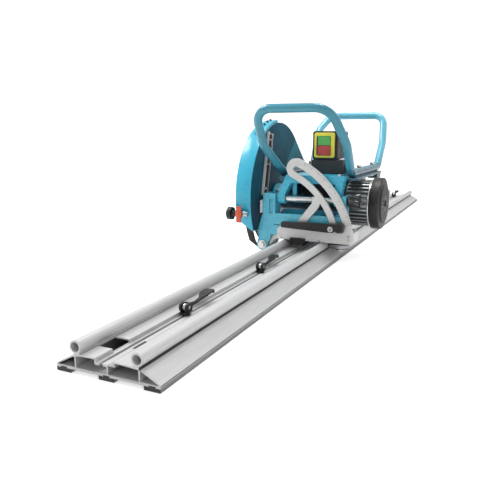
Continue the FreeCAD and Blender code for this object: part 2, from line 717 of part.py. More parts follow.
# fan cover, turned from its (x, radius) wall section, with radial slots in its end
cover_section = [
    (motor_end + 7, 72), (motor_end + 7, cover_r), (cover_end - 8.5, cover_r),
    (cover_end - 6, cover_r - 2.5), (cover_end - 6, cover_r - 16),
    (cover_end - 3.5, cover_r - 18), (cover_end, cover_r - 20.5), (cover_end, 12),
    (cover_end - 2, 12), (cover_end - 2, cover_r - 21.8), (cover_end - 4.8, cover_r - 20),
    (cover_end - 8, cover_r - 17.5), (cover_end - 8, cover_r - 3.4),
    (cover_end - 9.4, cover_r - 2), (motor_end + 9, cover_r - 2), (motor_end + 9, 72),
]
cover = new_body()
cover_sketch = add_sketch(cover, "XY", [cover_section], 0)
turned = cover.newObject("PartDesign::Revolution", "Revolution")
turned.Profile = cover_sketch
turned.ReferenceAxis = (origin(cover, "X_Axis"), [""])
turned.Angle = 360
place(cover, 0, *spindle)
doc.recompute()
vent = pocket(cover, "YZ", cover_end - 5, cover_end + 2, rect(26, 50, -1.6, 1.6))
repeat_about_x(cover, vent, 18)
piece("fan_cover", cover)

# rotating parts and bearings
piece("spindle_rotor", group(
    fuse(cylinder("X", *spindle, shaft_r, -196, 101), cylinder("X", *spindle, tail_r, 100, 195)),
    ring("X", *spindle, 35.5, tail_r, 113, 149)))

FAN_X = 176
fan = [cylinder("X", *spindle, 22, FAN_X, 192)]
for i in range(8):
    vane = primitive("Box", Length=16, Width=2, Height=42)
    place(vane, FAN_X, *spindle, about_x(45 * i))
    fan.append(vane)
piece("cooling_fan", cut(fuse(*fan), cylinder("X", *spindle, tail_r, 170, 194)))
piece("bearings", group(
    ring("X", *spindle, bearing_r, shaft_r + 0.05, -146, -131),
    ring("X", *spindle, bearing_r, shaft_r + 0.05, 70, 85),
    ring("X", *spindle, 20, tail_r + 0.05, motor_end, motor_end + 6.5)))

# blade with slots in its rim, clamped between two flanges
blade_left, blade_right = blade_x - blade_thick / 2, blade_x + blade_thick / 2
FLANGE_THICK = 6
flange_left = blade_left - FLANGE_THICK
blade = new_body()
pad(blade, "YZ", blade_left, blade_right, circle(0, 0, blade_r))
gullet = pocket(blade, "YZ", blade_x - 4, blade_x + 4,
                rect(blade_r - 10, blade_r + 3, -1.6, 1.6))
repeat_about_x(blade, gullet, 24)
place(blade, 0, *spindle)
piece("saw_blade", cut(blade, cylinder("X", *spindle, shaft_r, -182, -168)))
piece("blade_flanges", group(
    ring("X", *spindle, 45, shaft_r, blade_right, blade_right + FLANGE_THICK),
    ring("X", *spindle, 45, shaft_r, flange_left, blade_left)))
piece("arbor_nut", cut(prism("YZ", flange_left - 11, flange_left, hexagon(*spindle, 19, 0)),
                       cylinder("X", *spindle, shaft_r, -196, -170)))

# ------------------------------------------------------------------ blade guard
BOTTOM_Z = 77  # front end of the lower edge
HEEL_Y = -152  # where the lower edge starts to rise
TAIL_Y, TAIL_Z = 96, 187  # rear lower corner
TANGENT_ANGLE = 51  # where the arc runs into the straight tail


def guard_top(inset):
    """The guard's outline from its front end over the top to the end of the rear corner."""
    radius = guard_r - inset
    start = 180 + math.degrees(
        math.asin((guard_z.value - BOTTOM_Z - inset) / radius.value))
    front = (guard_y + radius * math.cos(math.radians(start)), BOTTOM_Z + inset)
    tangent = on_circle(*guard_centre, radius, TANGENT_ANGLE)
    middle = on_circle(*guard_centre, radius, (start + TANGENT_ANGLE) / 2)
    tail_y = TAIL_Y - inset
    slope = math.tan(math.radians(90 - TANGENT_ANGLE))
    tail_z = tangent[1].value - (tail_y - 24 - tangent[0].value) * slope
    return [front, ("arc", middle, tangent), (tail_y - 24, tail_z),
            ("arc", (tail_y - 5.6, tail_z - 12.5), (tail_y, tail_z - 34))]


def guard_outline():
    """Whole outline; the lower edge rises to the rear to clear the work at full plunge."""
    return guard_top(0) + [(TAIL_Y, TAIL_Z), (HEEL_Y, BOTTOM_Z)]


def guard_bevel():
    """Waste under the guard, which leaves its lower edge rising to the left."""
    return prism("XZ", -450, 130,
                 [(guard_inner + 4, 40), (guard_inner + 4, 74.5), (guard_inner, BOTTOM_Z),
                  (guard_outer, 115), (guard_outer - 6, 120), (guard_outer - 6, 40)])


inner_top = guard_top(skin.value)
inner_tail_y = TAIL_Y - skin.value
cavity = inner_top + [(inner_tail_y, 150), (HEEL_Y, 40), (-380, 40), (inner_top[0][0], 60)]
piece("guard_shell", cut(prism("YZ", guard_outer, guard_inner, guard_outline()),
                         prism("YZ", guard_outer + skin, guard_inner + 2, cavity),
                         guard_bevel()))
inner_outline = inner_top + [(inner_tail_y, TAIL_Z), (HEEL_Y, BOTTOM_Z)]
piece("guard_inner_plate", cut(
    prism("YZ", guard_inner - skin, guard_inner, inner_outline),
    cylinder("X", *spindle, 20, guard_inner - 5, guard_inner + 2), guard_bevel()))

# curved skirt inside the guard's front end, its lower edge cut aslant
skirt = sector(*guard_centre, guard_r - skin - 3.7, guard_r - skin - 0.2, 199.0, 223.0)
piece("splash_skirt", cut(
    prism("YZ", guard_inner - 24, guard_inner - skin - 0.5, skirt),
    prism("XZ", -450, -280,
          [(guard_inner + 2, -20), (guard_inner + 2, 16), (guard_inner - 30, 52),
           (guard_inner - 34, 52), (guard_inner - 34, -20)])))

# saddle bracket on the crown of the guard, and its screws
saddle_r = guard_r + 9
piece("guard_top_bracket", prism(
    "YZ", guard_inner - 34, guard_inner + 1.5,
    [on_circle(*guard_centre, guard_r, 123), on_circle(*guard_centre, saddle_r, 122),
     ("arc", on_circle(*guard_centre, saddle_r, 109), on_circle(*guard_centre, saddle_r, 96)),
     on_circle(*guard_centre, guard_r, 95),
     ("arc", on_circle(*guard_centre, guard_r, 109), on_circle(*guard_centre, guard_r, 123))]))


def radial_pin(radius, height, distance, angle):
    """Cylinder that points outwards from the guard's centre."""
    pin = primitive("Cylinder", Radius=radius, Height=height)
    place(pin, guard_inner - 16, *on_circle(*guard_centre, distance, angle),
          about_x(angle - 90))
    return pin


piece("bracket_screws", group(*[
    cut(radial_pin(3.4, 4.5, saddle_r, angle), radial_pin(1.4, 3, guard_r + 11.8, angle))
    for angle in (100, 106, 112, 118)]))

# U-section stiffener on the guard's inner face, which also holds the water hose
CHANNEL_LENGTH = 197.0
CHANNEL_Y, CHANNEL_Z = -304, 180  # lower end
lean = math.atan2(47, 205)  # rearwards from the vertical
lean_deg = math.degrees(lean)
channel = prism("XZ", -CHANNEL_LENGTH, 0,
                [(0, -16), (9, -16), (9, -13.6), (2.4, -13.6), (2.4, 13.6), (9, 13.6),
                 (9, 16), (0, 16)])
place(channel, guard_inner, CHANNEL_Y, CHANNEL_Z, about_x(-90 - lean_deg))
piece("guard_channel", channel)
hose = primitive("Cylinder", Radius=4, Height=CHANNEL_LENGTH - 8)
place(hose, guard_inner + 6.6, CHANNEL_Y + 2 * math.sin(lean), CHANNEL_Z + 2 * math.cos(lean),
      about_x(-lean_deg))
piece("water_hose", hose)

# water tap on the front of the guard, with its coupling on the left
TAP_X = -175
piece("tap_body", cut(
    fuse(cylinder("X", *tap, 7.5, -191, -153), cylinder("X", *tap, 9.5, -188, -184),
         cylinder("X", *tap, 9.5, -166, -160),
         box(-184, -166, tap_y - 9, tap_y + 9, tap_z - 9, tap_z + 9),
         box(-181, -169, tap_y + 8, tap_y + 18, tap_z - 6, tap_z + 6)),
    cylinder("Y", TAP_X, tap_z, 2.5, tap_y - 20, tap_y - 3),
    prism("YZ", guard_outer - 1, guard_inner + 1, guard_outline())))
piece("hose_coupling", cut(
    fuse(cylinder("X", *tap, 19, -216, -201), cylinder("X", *tap, 9, -202, -191)),
    cylinder("X", *tap, 8, -218, -206)))
piece("tap_lever", cut(
    fuse(cylinder("Y", TAP_X, tap_z, 6.5, tap_y - 16, tap_y - 9.5),
         cylinder("Y", TAP_X, tap_z, 10, tap_y - 19, tap_y - 12.5),
         box(-182.5, -167.5, tap_y - 17.5, tap_y - 12.5, tap_z - 24, tap_z + 24)),
    cylinder("Y", TAP_X, tap_z, 2.55, tap_y - 15, tap_y - 2)))

# ------------------------------------------------------------------ handles
RIGHT_X, LEFT_X = 122, -92  # base tubes
SEAM_Y = -130  # where the two halves of the loop meet
low, near, far = handle_z.value, near_bar_z.value, far_bar_z.value
# corners of the centre line: x, y, z, bend radius
far_half = [
    (RIGHT_X, SEAM_Y, low, 0), (RIGHT_X, 56, low, 34), (RIGHT_X, 132, 340, 110),
    (111, 184, far, 40), (-84, 184, far, 50), (-109, 112, 378, 90), (LEFT_X, 8, low, 34),
    (LEFT_X, SEAM_Y, low, 0),
]
near_half = [
    (LEFT_X, SEAM_Y, low, 0), (LEFT_X, -286, low, 34), (-123, -366, 336, 60),
    (-126, -420, near, 46), (92, -420, near, 60), (126, -366, 340, 70),
    (RIGHT_X, -290, low, 36), (RIGHT_X, SEAM_Y, low, 0),
]


def bent_tube(stations):
    """Round bar through the stations, its inner corners bent to their radii."""
    corners = [Vector(*station[:3]) for station in stations]
    edges, last = [], corners[0]
    for i in range(1, len(corners) - 1):
        corner, radius = corners[i], stations[i][3]
        back, ahead = corners[i - 1] - corner, corners[i + 1] - corner
        back.normalize()
        ahead.normalize()
        half_angle = math.acos(back.dot(ahead)) / 2
        setback = radius / math.tan(half_angle)
        inward = back + ahead
        inward.normalize()
        middle = corner + inward * (radius / math.sin(half_angle)) - inward * radius
        start, end = corner + back * setback, corner + ahead * setback
        if (start - last).Length > 1e-6:
            edges.append(Part.makeLine(last, start))
        edges.append(Part.Arc(start, middle, end).toShape())
        last = end
    edges.append(Part.makeLine(last, corners[-1]))
    return sweep(Part.Wire(edges), handle_r.value, corners[0], Vector(0, 1, 0))


BOLTS_Y = (-196, -22)
bolts = [(x, y) for x in (RIGHT_X, LEFT_X) for y in BOLTS_Y]
BOLT_R = 4
piece("handle_frame", cut(
    feature(bent_tube(far_half).fuse(bent_tube(near_half))),
    *[cylinder("Z", *at, BOLT_R, handle_z - 22, handle_z + 24) for at in bolts]))
piece("handle_bolts", group(*[
    fuse(cylinder("Z", *at, BOLT_R, handle_z - 20, handle_z + 18),
         cylinder("Z", *at, 7, handle_z + 12.55, handle_z + 18.5),
         cylinder("Z", *at, 6.5, handle_z - 26, handle_z - 19.5)) for at in bolts]))

seat_z = handle_z - 12.6
nut_z = handle_z - 19
right_bracket = cut(
    fuse(box(104, 140, -290, 48, 237, seat_z), box(106, 138, -303, -285, 237, seat_z),
         box(106, 138, -8, 46, 222, 240)),
    *[cylinder("Z", RIGHT_X, y, BOLT_R, 230, 250) for y in BOLTS_Y],
    cylinder("Z", 104, -138, 7, 230, 250),
    cylinder("Z", RIGHT_X, -22, 7.5, 215, nut_z))
left_bracket = cut(
    fuse(box(-106, -78, -288, 18, 237, seat_z), box(-98, -86, -215, -165, spindle_z + 30, 238),
         box(-96, -60, -303, -290, 230, seat_z)),
    *[cylinder("Z", LEFT_X, y, BOLT_R, 215, 250) for y in BOLTS_Y],
    cylinder("Z", LEFT_X, -196, 7, 215, nut_z),
    cylinder("X", *spindle, housing_r, -110, -50))
piece("handle_brackets", group(right_bracket, left_bracket))


# ------------------------------------------------------------------ switch
def switch_box(x0, x1, y0, y1, z0, z1):
    """Box measured from the switch box's left, front, bottom corner."""
    return box(switch_x + x0, switch_x + x1, switch_y + y0, switch_y + y1,
               switch_z + z0, switch_z + z1)


piece("switch_base", cut(
    box(switch_x - 2, switch_x + 96, switch_y - 4, switch_y + 60, 250, switch_z),
    box(switch_x + 4, switch_x + 90, switch_y + 2, switch_y + 54, 256, switch_z - 6),
    box(switch_x, switch_x + 80, -320, switch_y + 70, 245, 250)))
piece("switch_box", cut(
    switch_box(0, switch_width, 0, switch_depth, 0, switch_height),
    switch_box(4, switch_width - 4, 3, switch_depth - 4, 4, switch_height - 4),
    switch_box(13, 57, -2, 6, 14, 71)))
piece("switch_bezel", cut(switch_box(6, 69, -4, 0, 7, 81), switch_box(13, 57, -6, 1, 14, 71)))
piece("button_start", switch_box(17.6, 56.2, -5.5, 6, 43.3, 70.4))
piece("button_stop", switch_box(17.6, 56.2, -8, 6, 14.6, 42.1))

# supply lead from the switch base to the motor, (x, y, z) along its centre
LEAD = [
    (86.5, -208, 268), (89, -208, 268), (97, -203, 267), (102, -186, 262),
    (102.8, -154, 253), (102.8, -141, 245), (103.2, -135, 239), (106, -137, 234.5),
    (110, -146, 233), (112.5, -158, 233), (113, -165, 233), (113, -167.9, 233),
]
curve = Part.BSplineCurve()
curve.interpolate([Vector(*point) for point in LEAD])
piece("motor_cable", feature(sweep(Part.Wire([curve.toShape()]), 3.5, Vector(*LEAD[0]),
                                   curve.tangent(curve.FirstParameter)[0])))

# ------------------------------------------------------------------ checks and export
doc.recompute()
failed = [obj.Name for obj in doc.Objects if "Invalid" in obj.State or "Error" in obj.State]
assert not failed, "failed objects: %s" % failed
for name, obj in pieces.items():
    shape = obj.Shape
    assert not shape.isNull() and shape.isValid() and shape.Volume > 0 and shape.Solids, name
os.makedirs("parts", exist_ok=True)
for name, obj in pieces.items():
    obj.Shape.exportStep("parts/%s.step" % name)
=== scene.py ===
# Rail saw: a motor head with a disc blade, on a carriage that runs along an aluminium rail.
# The rail lies along Y, Z is up and the disc turns about X. The switch faces the front, -Y.
# Meshes are laid out in millimetres; shaders, lights and camera are in metres.
import bpy
import bmesh
import json
import math
import random
from mathutils import Matrix, Vector


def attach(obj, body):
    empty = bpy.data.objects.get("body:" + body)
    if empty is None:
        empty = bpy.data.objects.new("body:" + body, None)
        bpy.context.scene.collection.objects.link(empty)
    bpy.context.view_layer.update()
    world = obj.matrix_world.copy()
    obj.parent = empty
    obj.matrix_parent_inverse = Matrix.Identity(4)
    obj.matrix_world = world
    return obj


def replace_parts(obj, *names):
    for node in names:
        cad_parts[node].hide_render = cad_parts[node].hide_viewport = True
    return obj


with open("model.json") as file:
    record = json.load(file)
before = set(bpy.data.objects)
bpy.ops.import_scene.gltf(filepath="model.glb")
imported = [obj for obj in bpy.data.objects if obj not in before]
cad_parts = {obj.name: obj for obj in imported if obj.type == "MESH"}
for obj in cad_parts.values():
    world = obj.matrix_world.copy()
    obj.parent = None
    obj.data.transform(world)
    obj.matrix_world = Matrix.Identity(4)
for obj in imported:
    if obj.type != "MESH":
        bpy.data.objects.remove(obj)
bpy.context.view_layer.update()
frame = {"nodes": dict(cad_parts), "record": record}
random.seed(11)
MM = 0.001

BLADE_Y, BLADE_Z = -190, 161  # axis of the disc, mm

MATERIALS = {}


# ------------------------------------------------------------------ shader builder
class Shader:
    """Builds one procedural material. Object coordinates are metres in the part's frame.

    A span is a (low, high) pair of input values and to is the pair they are mapped to.
    """

    def __init__(self, name):
        self.material = bpy.data.materials.new(name)
        MATERIALS[name] = self.material
        self.material.use_nodes = True
        self.tree = self.material.node_tree
        self.tree.nodes.clear()
        output = self.new("OutputMaterial")
        self.surface = self.new("BsdfPrincipled")
        self.tree.links.new(self.surface.outputs[0], output.inputs[0])
        self.coords = self.new("TexCoord").outputs["Object"]

    def new(self, kind, **settings):
        node = self.tree.nodes.new("ShaderNode" + kind)
        for key, value in settings.items():
            setattr(node, key, value)
        return node

    def put(self, socket, value):
        """Links a socket or sets a constant; a colour socket takes an RGB or a grey value."""
        if isinstance(value, bpy.types.NodeSocket):
            self.tree.links.new(value, socket)
            return
        if hasattr(socket.default_value, "__len__"):
            rgb = value if hasattr(value, "__len__") else (value,) * 3
            value = (*rgb, 1.0)
        socket.default_value = value

    def mapping(self, scale, rotation=(0, 0, 0)):
        node = self.new("Mapping")
        self.put(node.inputs[0], self.coords)
        node.inputs["Rotation"].default_value = rotation
        node.inputs["Scale"].default_value = scale
        return node.outputs[0]

    def noise(self, scale, detail=3.0, roughness=0.55, vector=None):
        node = self.new("TexNoise")
        self.put(node.inputs["Vector"], vector or self.coords)
        node.inputs["Scale"].default_value = scale
        node.inputs["Detail"].default_value = detail
        node.inputs["Roughness"].default_value = roughness
        return node.outputs[0]

    def cells(self, scale):
        node = self.new("TexVoronoi")
        self.put(node.inputs["Vector"], self.coords)
        node.inputs["Scale"].default_value = scale
        return node.outputs["Distance"]

    def math(self, operation, *values):
        node = self.new("Math", operation=operation)
        for socket, value in zip(node.inputs, values):
            self.put(socket, value)
        return node.outputs[0]

    def add(self, first, second):
        return self.math("ADD", first, second)

    def multiply(self, first, second):
        return self.math("MULTIPLY", first, second)

    def invert(self, value):
        return self.math("SUBTRACT", 1.0, value)

    def ramp(self, value, span, to=(0, 1), shape="LINEAR"):
        node = self.new("MapRange", interpolation_type=shape)
        self.put(node.inputs[0], value)
        for index, number in enumerate((*span, *to), 1):
            node.inputs[index].default_value = number
        return node.outputs[0]

    def step(self, value, span, to=(0, 1)):
        return self.ramp(value, span, to, "SMOOTHSTEP")

    def mix(self, factor, first, second):
        node = self.new("Mix", data_type="RGBA")
        self.put(node.inputs[0], factor)
        self.put(node.inputs[6], first)
        self.put(node.inputs[7], second)
        return node.outputs[2]

    def tint(self, colour, mask, amount, other):
        """Moves colour towards other by mask times amount."""
        return self.mix(self.multiply(mask, amount), colour, other)

    def stain(self, colour, pattern, span, amount, other):
        """Moves colour towards other, up to amount, where the pattern is high."""
        return self.mix(self.step(pattern, span, to=(0, amount)), colour, other)

    def axes(self, vector=None):
        node = self.new("SeparateXYZ")
        self.put(node.inputs[0], vector or self.coords)
        return node.outputs

    def normal_axes(self):
        return self.axes(self.new("NewGeometry").outputs["Normal"])

    def edges(self, radius):
        """Mask of the outer edges, where rounded and true normals part; also the rounded one."""
        bevel = self.new("Bevel", samples=4)
        bevel.inputs["Radius"].default_value = radius
        geometry = self.new("NewGeometry")
        dot = self.new("VectorMath", operation="DOT_PRODUCT")
        self.put(dot.inputs[0], bevel.outputs[0])
        self.put(dot.inputs[1], geometry.outputs["Normal"])
        mask = self.step(self.invert(dot.outputs["Value"]), span=(0.03, 0.30))
        return mask, bevel.outputs[0]

    def openness(self, distance, span):
        """0 in crevices, 1 on open faces."""
        node = self.new("AmbientOcclusion", samples=4)
        node.inputs["Distance"].default_value = distance
        return self.step(node.outputs["AO"], span)

    def bump(self, height, strength, distance, normal):
        node = self.new("Bump")
        node.inputs["Strength"].default_value = strength
        node.inputs["Distance"].default_value = distance
        self.put(node.inputs["Height"], height)
        self.put(node.inputs["Normal"], normal)
        return node.outputs[0]

    def finish(self, colour, rough, metal=0.0, normal=None, flat=None, **others):
        """Fills the surface inputs; flat is the plain colour for the viewport."""
        inputs = self.surface.inputs
        if flat:
            inputs["Base Color"].default_value = (*flat, 1.0)
            self.material.diffuse_color = (*flat, 1.0)
        self.put(inputs["Base Color"], colour)
        self.put(inputs["Roughness"], rough)
        self.put(inputs["Metallic"], metal)
        if normal is not None:
            self.put(inputs["Normal"], normal)
        for key, value in others.items():
            self.put(inputs[key.replace("_", " ")], value)


def srgb(*channels):
    """Linear colour from 0-255 sRGB channels."""
    return tuple(c / 255 / 12.92 if c <= 10 else ((c / 255 + 0.055) / 1.055) ** 2.4
                 for c in channels)


def shade(rgb, factor):
    return tuple(min(1.0, channel * factor) for channel in rgb)


# ------------------------------------------------------------------ general finishes
def paint(name, rgb, rough=0.27, wear=0.5, peel=1.0, zones=()):
    """Glossy paint with chipped edges and painted shade in crevices. A zone is a painted light or
    shade colour and its (axis, start, end) fades.
    """
    mat = Shader(name)
    big = mat.noise(scale=5, detail=4)
    mid = mat.noise(scale=38, detail=5, roughness=0.6)
    fine = mat.noise(scale=900, detail=2)
    edge, rounded = mat.edges(radius=0.0011)
    scuff = mat.noise(scale=160, detail=6, roughness=0.7)
    colour = mat.mix(mat.step(big, span=(0.35, 0.68)), shade(rgb, 1.05), shade(rgb, 0.90))
    colour = mat.stain(colour, mid, span=(0.52, 0.74), amount=0.30, other=shade(rgb, 0.80))
    for other, *fades in zones:
        cover = None
        for axis, start, end in fades:
            value = mat.axes()["xyz".index(axis)]
            if start < end:
                fade = mat.step(value, span=(start, end))
            else:
                fade = mat.invert(mat.step(value, span=(end, start)))
            cover = fade if cover is None else mat.multiply(cover, fade)
        colour = mat.tint(colour, cover, mat.ramp(mid, span=(0.3, 0.7), to=(0.85, 1)), other)
    rubbed = tuple(min(1, c + lift) for c, lift in zip(rgb, (0.22, 0.14, 0.12)))
    amount = mat.step(scuff, span=(0.40, 0.60), to=(0.10, 0.55))
    colour = mat.tint(colour, edge, amount, other=rubbed)
    chip = mat.multiply(mat.multiply(edge, wear), mat.step(scuff, span=(0.60, 0.66)))
    colour = mat.mix(chip, colour, (0.36, 0.37, 0.38))
    # painted shade: the paint darkens in crevices
    exposed = mat.openness(distance=0.018, span=(0.15, 0.75))
    colour = mat.tint(colour, mat.invert(exposed), amount=0.55, other=shade(rgb, 0.32))
    roughness = mat.add(mat.ramp(mid, span=(0.3, 0.7), to=(rough - 0.05, rough + 0.10)),
                        mat.multiply(mat.invert(exposed), 0.2))
    normal = mat.bump(fine, strength=0.10 * peel, distance=0.0003, normal=rounded)
    normal = mat.bump(mat.noise(scale=120), strength=0.06 * peel, distance=0.0008, normal=normal)
    mat.finish(colour, roughness, mat.multiply(chip, 0.8), normal, flat=rgb,
               Coat_Weight=0.35, Coat_Roughness=0.12)


def brushed(name, rgb, rough, stretch, scale, stain):
    """Bare metal with grain lines, drawn out along each axis by stretch."""
    mat = Shader(name)
    stretched = mat.mapping(scale=tuple(scale * 6 / s for s in stretch))
    line = mat.noise(scale=6, detail=5, roughness=0.65, vector=stretched)
    blot = mat.noise(scale=14, detail=5, roughness=0.6)
    edge, rounded = mat.edges(radius=0.0007)
    colour = mat.mix(mat.step(line, span=(0.3, 0.7)), shade(rgb, 0.86), shade(rgb, 1.08))
    colour = mat.stain(colour, blot, span=(0.50, 0.78), amount=stain, other=shade(rgb, 0.55))
    colour = mat.tint(colour, edge, amount=0.5, other=shade(rgb, 1.35))
    # painted shade: the metal darkens in crevices
    exposed = mat.openness(distance=0.014, span=(0.15, 0.7))
    colour = mat.tint(colour, mat.invert(exposed), amount=0.7, other=shade(rgb, 0.22))
    roughness = mat.add(mat.ramp(line, span=(0.25, 0.75), to=(rough - 0.07, rough + 0.09)),
                        mat.step(blot, span=(0.45, 0.8), to=(0, 0.14)))
    normal = mat.bump(line, strength=0.12, distance=0.0002, normal=rounded)
    mat.finish(colour, roughness, metal=1.0, normal=normal, flat=rgb)


def cast(name, rgb, rough, metal, grain, depth, stain, edge_gain):
    """Grainy casting with bright edges."""
    mat = Shader(name)
    pits = mat.noise(scale=grain, detail=4, roughness=0.6)
    cloud = mat.noise(scale=28, detail=5, roughness=0.62)
    edge, rounded = mat.edges(radius=0.0010)
    colour = mat.mix(mat.step(pits, span=(0.35, 0.7)), shade(rgb, 0.88), shade(rgb, 1.08))
    colour = mat.stain(colour, cloud, span=(0.48, 0.75), amount=stain, other=shade(rgb, 0.55))
    colour = mat.tint(colour, edge, amount=0.55, other=shade(rgb, edge_gain))
    # painted shade: the casting darkens in crevices
    exposed = mat.openness(distance=0.02, span=(0.12, 0.75))
    colour = mat.tint(colour, mat.invert(exposed), amount=0.75, other=shade(rgb, 0.18))
    roughness = mat.add(mat.ramp(pits, span=(0.3, 0.7), to=(rough - 0.05, rough + 0.08)),
                        mat.multiply(edge, -0.12))
    normal = mat.bump(pits, strength=0.28, distance=depth, normal=rounded)
    mat.finish(colour, roughness, metal, normal, flat=rgb)


def plastic(name, rgb, rough, texture, coat):
    """Moulded plastic with a fine cell texture and pale scratches."""
    mat = Shader(name)
    grain = mat.cells(scale=1400)
    cloud = mat.noise(scale=22, detail=5, roughness=0.6)
    scratch = mat.noise(scale=7, detail=6, roughness=0.75,
                        vector=mat.mapping(scale=(90, 12, 26), rotation=(0.3, 0.5, 0.2)))
    edge, rounded = mat.edges(radius=0.0009)
    colour = mat.mix(mat.step(cloud, span=(0.4, 0.7)), shade(rgb, 1.06), shade(rgb, 0.86))
    pale = tuple(min(1, channel * 1.15 + 0.05) for channel in rgb)
    colour = mat.tint(colour, edge, amount=0.55, other=pale)
    colour = mat.stain(colour, scratch, span=(0.64, 0.72), amount=0.10, other=(0.5, 0.5, 0.5))
    # painted shade: the plastic darkens in crevices
    exposed = mat.openness(distance=0.012, span=(0.1, 0.7))
    colour = mat.tint(colour, mat.invert(exposed), amount=0.5, other=shade(rgb, 0.35))
    roughness = mat.add(mat.ramp(cloud, span=(0.3, 0.7), to=(rough - 0.05, rough + 0.07)),
                        mat.step(scratch, span=(0.6, 0.75), to=(0, 0.12)))
    normal = mat.bump(grain, strength=0.14 * texture, distance=0.00025, normal=rounded)
    mat.finish(colour, roughness, normal=normal, flat=rgb, Coat_Weight=coat, Coat_Roughness=0.1)


def rubber(name, rgb):
    mat = Shader(name)
    grain = mat.noise(scale=700)
    cloud = mat.noise(scale=30, detail=5, roughness=0.65)
    edge, rounded = mat.edges(radius=0.0009)
    colour = mat.mix(mat.step(cloud, span=(0.42, 0.75)), rgb, shade(rgb, 2.3))
    colour = mat.tint(colour, edge, amount=0.5, other=shade(rgb, 3.4))
    mat.finish(colour, mat.ramp(cloud, span=(0.3, 0.7), to=(0.62, 0.84)), flat=rgb,
               normal=mat.bump(grain, strength=0.35, distance=0.0003, normal=rounded))


# ------------------------------------------------------------------ finishes of single parts
BLUE = srgb(58, 180, 210)


def guard_blue():
    """Guard paint: the sheet face towards the rail is painted darker as painted shade, with a
    painted lighter band past a fold.
    """
    mat = Shader("guard_blue")
    big = mat.noise(scale=6, detail=4)
    mid = mat.noise(scale=42, detail=5, roughness=0.6)
    fine = mat.noise(scale=900, detail=2)
    edge, rounded = mat.edges(radius=0.0010)
    x, y, z = mat.axes()[:3]
    colour = mat.mix(mat.step(big, span=(0.35, 0.68)), shade(BLUE, 1.06), shade(BLUE, 0.90))
    colour = mat.stain(colour, mid, span=(0.52, 0.76), amount=0.25, other=shade(BLUE, 0.80))
    # the face in painted shade looks along +X
    face = mat.multiply(mat.step(mat.normal_axes()[0], span=(0.55, 0.9)),
                        mat.step(x, span=(-0.154, -0.1515)))
    cloud = mat.noise(scale=7, roughness=0.5, vector=mat.mapping(scale=(1, 1, 0.45)))
    strength = mat.ramp(cloud, span=(0.3, 0.75), to=(0.90, 1))
    # distance from a sloping fold through y -0.061, z 0.312; the painted lighter band, light on
    # the plate past the fold, starts there
    fold = mat.add(mat.multiply(mat.add(y, 0.061), 0.681),
                   mat.multiply(mat.math("SUBTRACT", z, 0.312), -0.732))
    pale = mat.multiply(mat.step(fold, span=(-0.001, 0.002)), mat.step(fold, span=(0.11, 0.02)))
    face_shade = mat.tint(srgb(20, 74, 94), pale, mat.step(z, span=(0.20, 0.27)),
                       other=srgb(46, 122, 134))
    # the shaded face gets darker towards the bottom
    low = mat.invert(mat.step(z, span=(0.14, 0.20)))
    face_shade = mat.mix(low, face_shade, srgb(32, 52, 72))
    colour = mat.tint(colour, face, strength, face_shade)
    colour = mat.tint(colour, edge, amount=0.35, other=(0.42, 0.80, 0.92))
    # painted shade: the paint darkens in crevices
    exposed = mat.openness(distance=0.02, span=(0.15, 0.75))
    colour = mat.tint(colour, mat.invert(exposed), amount=0.5, other=shade(BLUE, 0.3))
    normal = mat.bump(fine, strength=0.08, distance=0.0003, normal=rounded)
    normal = mat.bump(mat.noise(scale=90), strength=0.05, distance=0.0008, normal=normal)
    shine = mat.invert(face)
    roughness = mat.add(mat.ramp(mid, span=(0.3, 0.7), to=(0.24, 0.38)),
                        mat.multiply(face, 0.25))
    mat.finish(colour, roughness, normal=normal, flat=BLUE,
               Coat_Weight=mat.multiply(shine, 0.3), Coat_Roughness=0.14,
               Specular_IOR_Level=mat.ramp(shine, span=(0, 1), to=(0.18, 0.5)))


